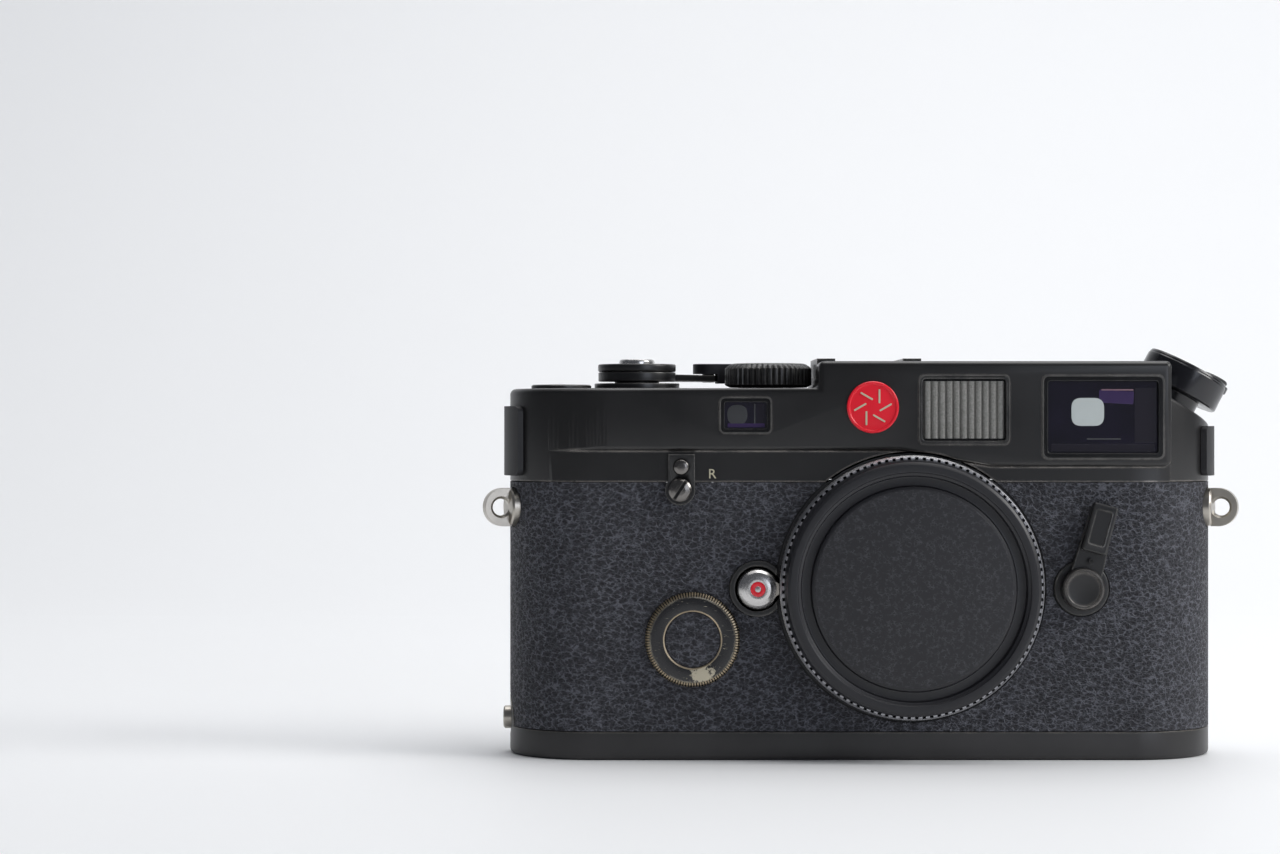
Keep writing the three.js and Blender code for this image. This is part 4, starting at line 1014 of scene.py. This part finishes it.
def rewind_release():
    x, z = REWIND_SCREW
    slot_lean = -57
    outline = [(x + 2.85, 59), (x - 2.25, 59), (x - 2.25, z + 1.83), *arc(x, z, 2.9, 141, 371, 32),
               (x + 2.85, z + 0.6)]
    plate = slab("rewind_release_plate", outline, -17.9, -17.1, "y", 0.16)
    carve(plate, drum(1.5, -20, -10, REWIND_SCREW, 48))
    finish(plate, "rewind_release", PAINT, "rewind_release_lever")
    lathe("rewind_release_knob", [
        (0, -17.5), (1.6, -17.5), (1.6, -18.5), (1.35, -18.95), (0.8, -19.15), (0, -19.22),
    ], (-35.4, 56.5), "rewind_release", SCREW_LOOK, soft=0.3, segments=48)
    slot = tilt(block(x - 3, x + 3, -20, -18.3, z - 0.3, z + 0.3), slot_lean, (x, 0, z))
    lathe("rewind_release_screw_head", [
        (0, -14), (1.25, -14), (1.25, -18), (2.25, -18), (2.25, -18.4), (1.8, -18.75), (1, -18.93),
        (0, -18.97),
    ], REWIND_SCREW, "body", SCREW_LOOK, "rewind_release_screw", soft=0.15, segments=64, cuts=[slot],
    angle=30)
    # Painted shadow: a near-black block at the bottom of the screw's slot.
    shadow = block(x - 1.9, x + 1.9, -18.36, -18.2, z - 0.28, z + 0.28, "rewind_screw_slot_shadow")
    finish(tilt(shadow, slot_lean, (x, 0, z)), "body", JET)


def frame_selector():
    x, z = SELECTOR
    outline = [(x - 3.2, z - 1), (x + 3.2, z - 1), (x + 2.45, z + 16.2), (x - 2.45, z + 16.2)]
    arm = slab("selector_arm", soften(outline, 0.4, 3, closed=True), -18.6, -17.4, "y", 0.2)
    finish(arm, "frame_selector", PAINT, "frame_selector_lever")
    pad = slab("selector_pad", rounded_rect(x, z + 12, 4.9, 9.5, 0.6, 5), -20.2, -18.4)
    round_edges(pad, 0.45, 3)
    carve(pad, slab("tool", rounded_rect(x, z + 12.2, 3.1, 6.8, 0.5, 5), -21, -19.75))
    finish(pad, "frame_selector", PAINT)
    dot = drum(0.5, -19.9, -18.5, (x, z + 5.6), 32)
    dot.name = "selector_index_dot"
    finish(dot, "frame_selector", JET)
    boss = lathe("selector_boss", [
        (0, -14.9), (1.5, -14.9), (1.5, -16.8), (4.1, -16.8), (4.1, -19.9), (3.75, -20.4), (3.3, -20.4),
        (3.1, -20.15), (0, -20.1),
    ], SELECTOR, "frame_selector", PAINT_TOP, soft=0.16, segments=96)
    for piece in (arm, pad, dot, boss):
        tilt(piece, 15, (x, 0, z))
        shade(piece, 32)
    lathe("selector_seat", [(2, -16.2), (5.3, -16.2), (5.3, -17.0), (5.1, -17.2), (2, -17.2)], SELECTOR,
          "body", PAINT, closed=True)


rewind_release()
frame_selector()


# ---- lugs and guards

def strap_lug(side, sign):
    outline = [(69.8, LUG_Z - LUG_R), *arc(71.2, LUG_Z, LUG_R, -90, 90, 40), (69.8, LUG_Z + LUG_R)]
    eye = slab("lug_eye_" + side, outline, -1.1, 1.1)
    bore = [(0, -3), (2.15, -3), (2.15, -1.12), (1.66, -0.6), (1.66, 0.6), (2.15, 1.12), (2.15, 3), (0, 3)]
    carve(eye, turned("tool", bore, 71.7, LUG_Z, "y", 48))
    round_edges(eye, 0.25, 3)
    finish(at_lug(eye, sign), "body", NICKEL, "strap_lug_" + side, slot="chrome")
    path = soften([(0, 67.2), (LUG_R, 67.2), (LUG_R, 69.75), (3.4, 70.1), (0, 70.12)], 0.2, 4)
    disc = along_x(turned("lug_base_" + side, path, 0, 0, "z", 64), LUG_Z)
    shade(disc, 32)
    finish(at_lug(disc, sign), "body", NICKEL)


def strap_guard(side, sign, top):
    outer_r, inner_r, bottom, half_angle = 17.95, 16.85, 54.7, 16
    reach = math.sin(math.radians(half_angle)) * outer_r
    guard = post(outer_r, bottom, top, END_X, 0, 256)
    guard.name = "guard_" + side
    carve(guard, post(inner_r, 50, 80, END_X, 0, 256))
    outline = rounded_rect(0, (bottom + top) / 2, 2 * reach, top - bottom, 1.3, 6)
    common(guard, slab("tool", outline, 60, 80, "x"))
    round_edges(guard, 0.35, 3)
    finish(at_lug(guard, sign), "body", RUBBER, "strap_guard_" + side)


for side, sign, top in (("left", -1, 68.3), ("right", 1, 64.4)):
    strap_lug(side, sign)
    strap_guard(side, sign, top)


# ---- deck controls

def advance_lever():
    hx = HUB.x
    tip = pivot("lever_tip_fold")
    lathe("lever_ring", [(4.7, 73.2), (7.65, 73.2), (7.65, 75), (4.7, 75)], (hx, 0), "advance_lever", PAINT,
          "advance_lever", soft=0.2, segments=96, axis="z", closed=True)
    outline = [(hx + 3, -6), (tip.x + 1.5, tip.y - 2.6), *arc(tip.x, tip.y, 3, -57, 115, 12), (hx - 2, 7)]
    arm = slab("lever_arm", outline, 73.3, 74.6, "z")
    carve(arm, post(4.7, 70, 80, hx))
    round_edges(arm, 0.25, 3)
    finish(arm, "advance_lever", PAINT)
    pin = post(1.2, 73.2, 76.4, tip.x, tip.y, 48)
    pin.name = "lever_pin"
    finish(pin, "advance_lever", STEEL)
    plan = bend((tip.x, tip.y - 3.1), (-22, 9.3), (-13.4, 10.3), 16) + arc(-12.6, 13, 2.8, -95, 97, 16)
    plan += bend((-13.0, 15.75), (-22, 15.6), (tip.x, tip.y + 3.1), 16) + arc(tip.x, tip.y, 3.1, 90, 270,
        20)[1:-1]
    thumb = slab("lever_thumb_tip", plan, 73, 76.9, "z")
    round_edges(thumb, 0.6, 4)
    carve(thumb, post(1.5, 70, 80, tip.x, tip.y, 48), post(3.5, 72, 74.9, tip.x, tip.y, 64))
    shade(thumb, 32)
    finish(thumb, "lever_tip", PLASTIC, "advance_lever_tip")


def deck_controls():
    hub = (HUB.x, 0)
    lathe("hub_seat", [
        (3.8, 69), (4.4, 69), (4.4, DECK), (8.4, DECK), (8.4, DECK + 1.1), (4.4, DECK + 1.1), (4.4, 75),
        (3.8, 75),
    ], hub, "body", PAINT, "advance_hub", axis="z", closed=True)
    lathe("hub_lid", [(3.8, 75.1), (7.7, 75.1), (7.7, 76.6), (3.8, 76.6)], hub, "body", PAINT,
          "advance_hub_cap", soft=0.35, axis="z", closed=True)
    lathe("release_button", [
        (0, 71), (1.2, 71), (1.2, 73.6), (3.5, 73.6), (3.5, 77.1), (3.35, 77.45), (2.95, 77.6), (2.3, 77.5),
        (1.5, 77.25), (1.15, 76.6), (1.1, 75.4), (0, 75.4),
    ], hub, "release_button", CHROME, "shutter_release_button", segments=72, axis="z")
    lathe("counter_bezel", [
        (0, 71.3), (4.6, 71.3), (4.6, DECK), (5.9, DECK), (5.9, 72.3), (5.6, 72.5), (4.9, 72.5), (4.5, 72.2),
        (0, 72.42),
    ], (COUNTER.x, COUNTER.y), "body", PAINT, "frame_counter_window", soft=0.1, segments=96, axis="z")
    lathe("counter_lens", [(0, 72.3), (4.45, 72.25), (4.2, 72.4), (2.5, 72.62), (0, 72.75)],
          (COUNTER.x, COUNTER.y), "body", LENS_GLASS, soft=0.05, segments=96, axis="z")
    lathe("speed_knob", [
        (0, 65), (2, 65), (2, 72), (7.6, 72), (8, 72.2), (8.6, 72.5), (8.6, 75.7), (8.2, 76.1), (7.5, 76.6),
        (6.9, 76.75), (6.4, 76.6), (0, 76.6),
    ], (DIAL.x, 0), "speed_dial", PAINT, "shutter_speed_dial", soft=0.1, axis="z", ridges=(44, 0.5, 8.05))


advance_lever()
deck_controls()


# ---- letter and figures

def lettering(name, word, size, depth, place, body):
    """A raised letter or figure, drawn flat and carried to its place."""
    curve = bpy.data.curves.new(name, "FONT")
    curve.body = word
    curve.size = size * MM
    curve.extrude = depth * MM
    curve.align_x = curve.align_y = "CENTER"
    text = bpy.data.objects.new(name + "_curve", curve)
    SCENE.collection.objects.link(text)
    bpy.context.view_layer.update()
    mesh = bpy.data.meshes.new_from_object(text)
    mesh.transform(place)
    bpy.data.objects.remove(text)
    made = bpy.data.objects.new(name, mesh)
    SCENE.collection.objects.link(made)
    finish(made, body, IVORY)


def moved(x, y, z):
    return Matrix.Translation(Vector((x, y, z)) * MM)


STAND_UP = Matrix.Rotation(math.pi / 2, 4, "X")
FACE_BACK = Matrix.Rotation(math.pi, 4, "Z") @ STAND_UP
lettering("rewind_letter", "R", 2.6, 0.03, moved(-29.4, -16.77, 55.1) @ STAND_UP, "body")
FIGURE_DEPTH = 0.02
for i, word in enumerate("1 2 4 8 15 30 60 125 250 500 1000".split()):
    a = math.radians(90 - 30 * i)
    place = moved(DIAL.x + 5.2 * math.cos(a), 5.2 * math.sin(a), 76.61) @ Matrix.Rotation(a - math.pi / 2,
        4, "Z")
    lettering(f"speed_figure_{i}", word, 1.7, FIGURE_DEPTH, place, "speed_dial")
for i, word in enumerate("25 50 100 200 400 800 1600 3200".split()):
    a = math.radians(90 - 36 * i)
    place = moved(FILM_DIAL.x - 12.6 * math.cos(a), 17.72, FILM_DIAL.z + 12.6 * math.sin(a)) @ FACE_BACK
    place = place @ Matrix.Rotation(a - math.pi / 2, 4, "Z")
    lettering(f"sensitivity_figure_{i}", word, 2.4, FIGURE_DEPTH, place, "film_speed_dial")


# ---- accessory shoe, eyepiece, sockets, film speed dial

def hot_shoe():
    x, contact = SHOE.x, (SHOE.x, 3.5)
    channel = block(x - 10.2, x + 10.2, SHOE.y0, SHOE.y1, SHOE.z0, SHOE.z1, "shoe_channel")
    carve(channel, block(x - 9.4, x + 9.4, -7, 20, 74.7, 76.8), block(x - 6.6, x + 6.6, -20, 20, 74.7, 90),
          post(4.2, 70, 75, *contact, 64))
    round_edges(channel, 0.18, 3)
    finish(channel, "body", PAINT_TOP, "hot_shoe")
    lathe("shoe_contact", [(0, 73.9), (4, 73.9), (4, 74.6), (1.2, 74.6), (1, 74.9), (0, 74.9)], contact,
          "body", PLASTIC, "hot_shoe_contact", soft=0.08, segments=64, axis="z")
    lathe("shoe_contact_pin", [(0, 74.7), (0.95, 74.7), (0.9, 75.0), (0.4, 75.15), (0, 75.17)], contact,
          "body", BRASS, soft=0.08, segments=48, axis="z")


def back_fittings():
    lathe("eyepiece_ring", [
        (4.5, 15), (5, 15), (5, 16.75), (7.5, 16.75), (7.5, 18.1), (7.2, 18.4), (5.4, 18.4), (4.5, 17.6),
    ], EYE.xz, "body", PAINT, "eyepiece_frame", closed=True)
    lathe("eyepiece_glass_dome", [(0, 15.2), (4.4, 15.2), (4.4, 16.6), (2.6, 16.95), (0, 17.1)], EYE.xz,
          "body", LENS_GLASS, "eyepiece_lens", slot="glass")
    for i, socket in enumerate(SOCKETS, 1):
        lathe(f"flash_terminal_{i}", [
            (0, 12.5), (2.4, 12.5), (2.4, 16.75), (3.4, 16.75), (3.4, 17.6), (1.8, 17.6), (1.8, 14), (0, 14),
        ], socket.xz, "body", CHROME, f"flash_socket_{i}", segments=64)
        lathe(f"flash_terminal_pin_{i}", [(0, 13.9), (0.6, 13.9), (0.6, 16.6), (0.4, 16.9), (0, 16.95)],
              socket.xz, "body", BRASS, segments=32)
    lathe("sensitivity_dial", [
        (0, 16.2), (16.6, 16.2), (16.6, 17.4), (16.2, 17.7), (9.2, 17.7), (8.7, 17.3), (0, 17.3),
    ], FILM_DIAL.xz, "film_speed_dial", CAP_PLASTIC, "film_speed_dial", ridges=(80, 0.35, 16.25))
    lathe("sensitivity_hub", [(0, 17.25), (7.6, 17.25), (7.6, 17.55), (7.3, 17.65), (0, 17.65)], FILM_DIAL.xz,
          "film_speed_dial", GRAINED, soft=0.1)


hot_shoe()
back_fittings()


# ---- rewind knob and crank, drawn upright and leaned on the shoulder

def rewind():
    grip_x = 5.6
    pockets = [block(-6.6, 12, -2.9, 2.9, 6.4, 10), block(-6.6, -2.6, -2.9, 2.9, 5.4, 10),
               post(3.4, 4.2, 10, grip_x, 0, 64)]
    on_shoulder(lathe("rewind_drum", [
        (0, 0.3), (5, 0.3), (5, 2.6), (8.1, 2.6), (8.45, 2.9), (8.45, 7.5), (8.3, 7.75), (8.3, 7.95),
        (8.1, 8.36),
        (0, 8.36),
    ], (0, 0), "rewind_knob", GLOSSY, "rewind_knob", axis="z", cuts=pockets))
    on_shoulder(lathe("rewind_gear", [
        (0, -14.9), (4.4, -14.9), (4.4, -13.5), (2, -13.5), (2, 1), (0, 1),
    ], (0, 0), "rewind_knob", STEEL, soft=0.1, segments=64, axis="z"))
    arm = slab("crank_arm", rounded_rect(1.2, 0, 15, 5.2, 2.4, 12), 6.7, 8.2, "z", 0.3)
    finish(on_shoulder(arm), "rewind_crank", GLOSSY, "rewind_crank")
    on_shoulder(lathe("crank_grip", [
        (0, 4.6), (2.3, 4.6), (2.3, 8.3), (2.6, 8.5), (2.6, 8.9), (2.3, 9.2), (0, 9.2),
    ], (grip_x, 0), "rewind_crank", PLASTIC, soft=0.15, segments=64, axis="z"))


rewind()


# ---- base

def base_plate():
    tripod_x, key_x = -45, 45
    tray = slab("base_tray", stadium(0, 96), 0, 5.5, "z")
    round_some(tray, lambda mid: 0.85 if mid.z < 1 else 0.18, 4)
    ear = slab("tool", stadium(0, 96), 5.2, 12, "z")
    common(ear, bar(5.4, -80, -60, 6.0, 72))
    weld(tray, ear)
    carve(tray, slab("tool", stadium(1.4), 1.4, 20, "z"), bar(3.4, -80, -60, STUD_Z, 48))
    weld(tray, post(9.6, 0.9, 3.4, key_x), post(7.6, 0.9, 4.2, tripod_x))
    carve(tray, post(8.9, -1, 2.2, key_x), post(2.6, -1, 6, key_x), post(6.4, -1, 6, tripod_x))
    shade(tray, 32)
    finish(tray, "base_plate", PAINT_BASE, "base_plate", slot="base_brass")
    lathe("tripod_socket_bush", [
        (3.15, 0.35), (3.5, 0), (6.3, 0), (6.3, 4.2), (7.4, 4.2), (7.4, 5.2), (3.15, 5.2),
    ], (tripod_x, 0), "base_plate", CHROME, "tripod_bush", axis="z", closed=True, soft=0.1)
    path = soften([(0, 0.1), (8.3, 0.1), (8.6, 0.4), (8.6, 1.8), (2.3, 1.8), (2.3, 5), (0, 5)], 0.12, 3)
    key = turned("lock_key_plate", path, key_x, 0, "z", 96)
    scoop = post(6.6, -1, 1.3, key_x)
    carve(scoop, block(35, 55, -1.1, 1.1, -2, 3))
    carve(key, scoop)
    weld(key, block(43, 54, -2, 2, 3.9, 4.9))
    round_edges(key, 0.15, 3)
    finish(key, "lock_key", CHROME, "base_lock_key")
    path = soften([(0, 64), (1.2, 64), (1.2, 67.5), (2.25, 67.5), (2.25, 70.0), (1.95, 70.3), (0, 70.3)],
        0.12, 3)
    stud = along_x(turned("catch_stud_head", path, 0, 0, "z", 48), STUD_Z, -90)
    finish(stud, "body", NICKEL, "catch_stud")


base_plate()


# ---- the nodes that stay

KEPT = {
    "body_shell": CASTING, "back_door": PAINT, "door_hinge_pin": STEEL, "finder_block": PLASTIC,
    "rangefinder_prism": LENS_GLASS, "meter_board": BOARD, "rangefinder_roller_arm": STEEL,
    "battery_cell": NICKEL,
    "battery_chamber": PLASTIC, "frame_counter_disc": PAINT, "rewind_fork": STEEL, "sprocket_drum": STEEL,
    "take_up_spool": PLASTIC, "shutter_curtain": CLOTH, "curtain_drum": STEEL, "curtain_roller": STEEL,
    "pressure_plate": PAINT, "pressure_plate_spring": BRASS,
}
for node, look in KEPT.items():
    for material_slot in frame["nodes"][node].material_slots:
        material_slot.material = look


# ---- stage, light, camera

FOCAL_LENGTH = 83.3
CAMERA_PLACE = (-0.0433, -0.587, 0.0642)
FLOOR_BACK, BEND_R, WALL_TOP, HALF_WIDE = 420, 420, 2600, 2600


def stage_material(name, colour):
    look = Look(name, colour, 0.6)
    cloud = look.noise(3, 3)
    look.colour(look.mix(cloud, colour, scaled(colour, 1.02)))
    return look.material


def sweep():
    """Pale floor that runs back and curves up into the backdrop."""
    profile = [(-520, 0), (FLOOR_BACK, 0), *arc(FLOOR_BACK, BEND_R, BEND_R, -90, 0, 24),
               (FLOOR_BACK + BEND_R, WALL_TOP)]
    verts = [(x, y, z) for x in (-HALF_WIDE, HALF_WIDE) for y, z in profile]
    n = len(profile)
    faces = [[i, i + 1, n + i + 1, n + i] for i in range(n - 1)]
    floor = new_object("studio_sweep", verts, faces)
    floor.data.materials.append(stage_material("pale_paper", (0.88, 0.89, 0.9)))


sweep()


def soft_light(name, place, target, size, power, colour=(1, 1, 1)):
    lamp = bpy.data.lights.new(name, "AREA")
    lamp.shape = "RECTANGLE"
    lamp.size, lamp.size_y = size
    lamp.energy = power
    lamp.color = colour
    obj = bpy.data.objects.new(name, lamp)
    obj.location = Vector(place)
    obj.rotation_mode = "QUATERNION"
    obj.rotation_quaternion = (Vector(target) - Vector(place)).to_track_quat("-Z", "Y")
    SCENE.collection.objects.link(obj)


soft_light("key", (0.95, -0.3, 0.6), (0.05, 0, 0.05), (0.5, 0.5), 6.5, (1, 0.99, 0.98))
soft_light("overhead", (0.2, 0.12, 1.1), (0, 0, 0.03), (1.2, 0.7), 6.5)
soft_light("front_fill", (0.8, -1.4, 0.36), (0.03, 0, 0.04), (0.7, 0.7), 3.8, (0.84, 0.89, 1))
soft_light("backdrop_wash", (0, 0.15, 1.9), (0, 1.0, 0.3), (2.2, 0.8), 8.5, (1, 0.99, 0.99))

world = bpy.data.worlds.new("studio")
world.use_nodes = True
world.node_tree.nodes["Background"].inputs["Color"].default_value = (0.85, 0.89, 1, 1)
world.node_tree.nodes["Background"].inputs["Strength"].default_value = 0.12
SCENE.world = world

lens = bpy.data.cameras.new("camera")
lens.sensor_width = 36
lens.lens = FOCAL_LENGTH
lens.clip_start = 0.05
lens.clip_end = 20
view = bpy.data.objects.new("camera", lens)
view.location = CAMERA_PLACE
view.rotation_euler = (math.radians(90), 0, 0)
SCENE.collection.objects.link(view)
SCENE.camera = view
SCENE.view_settings.view_transform = "Standard"
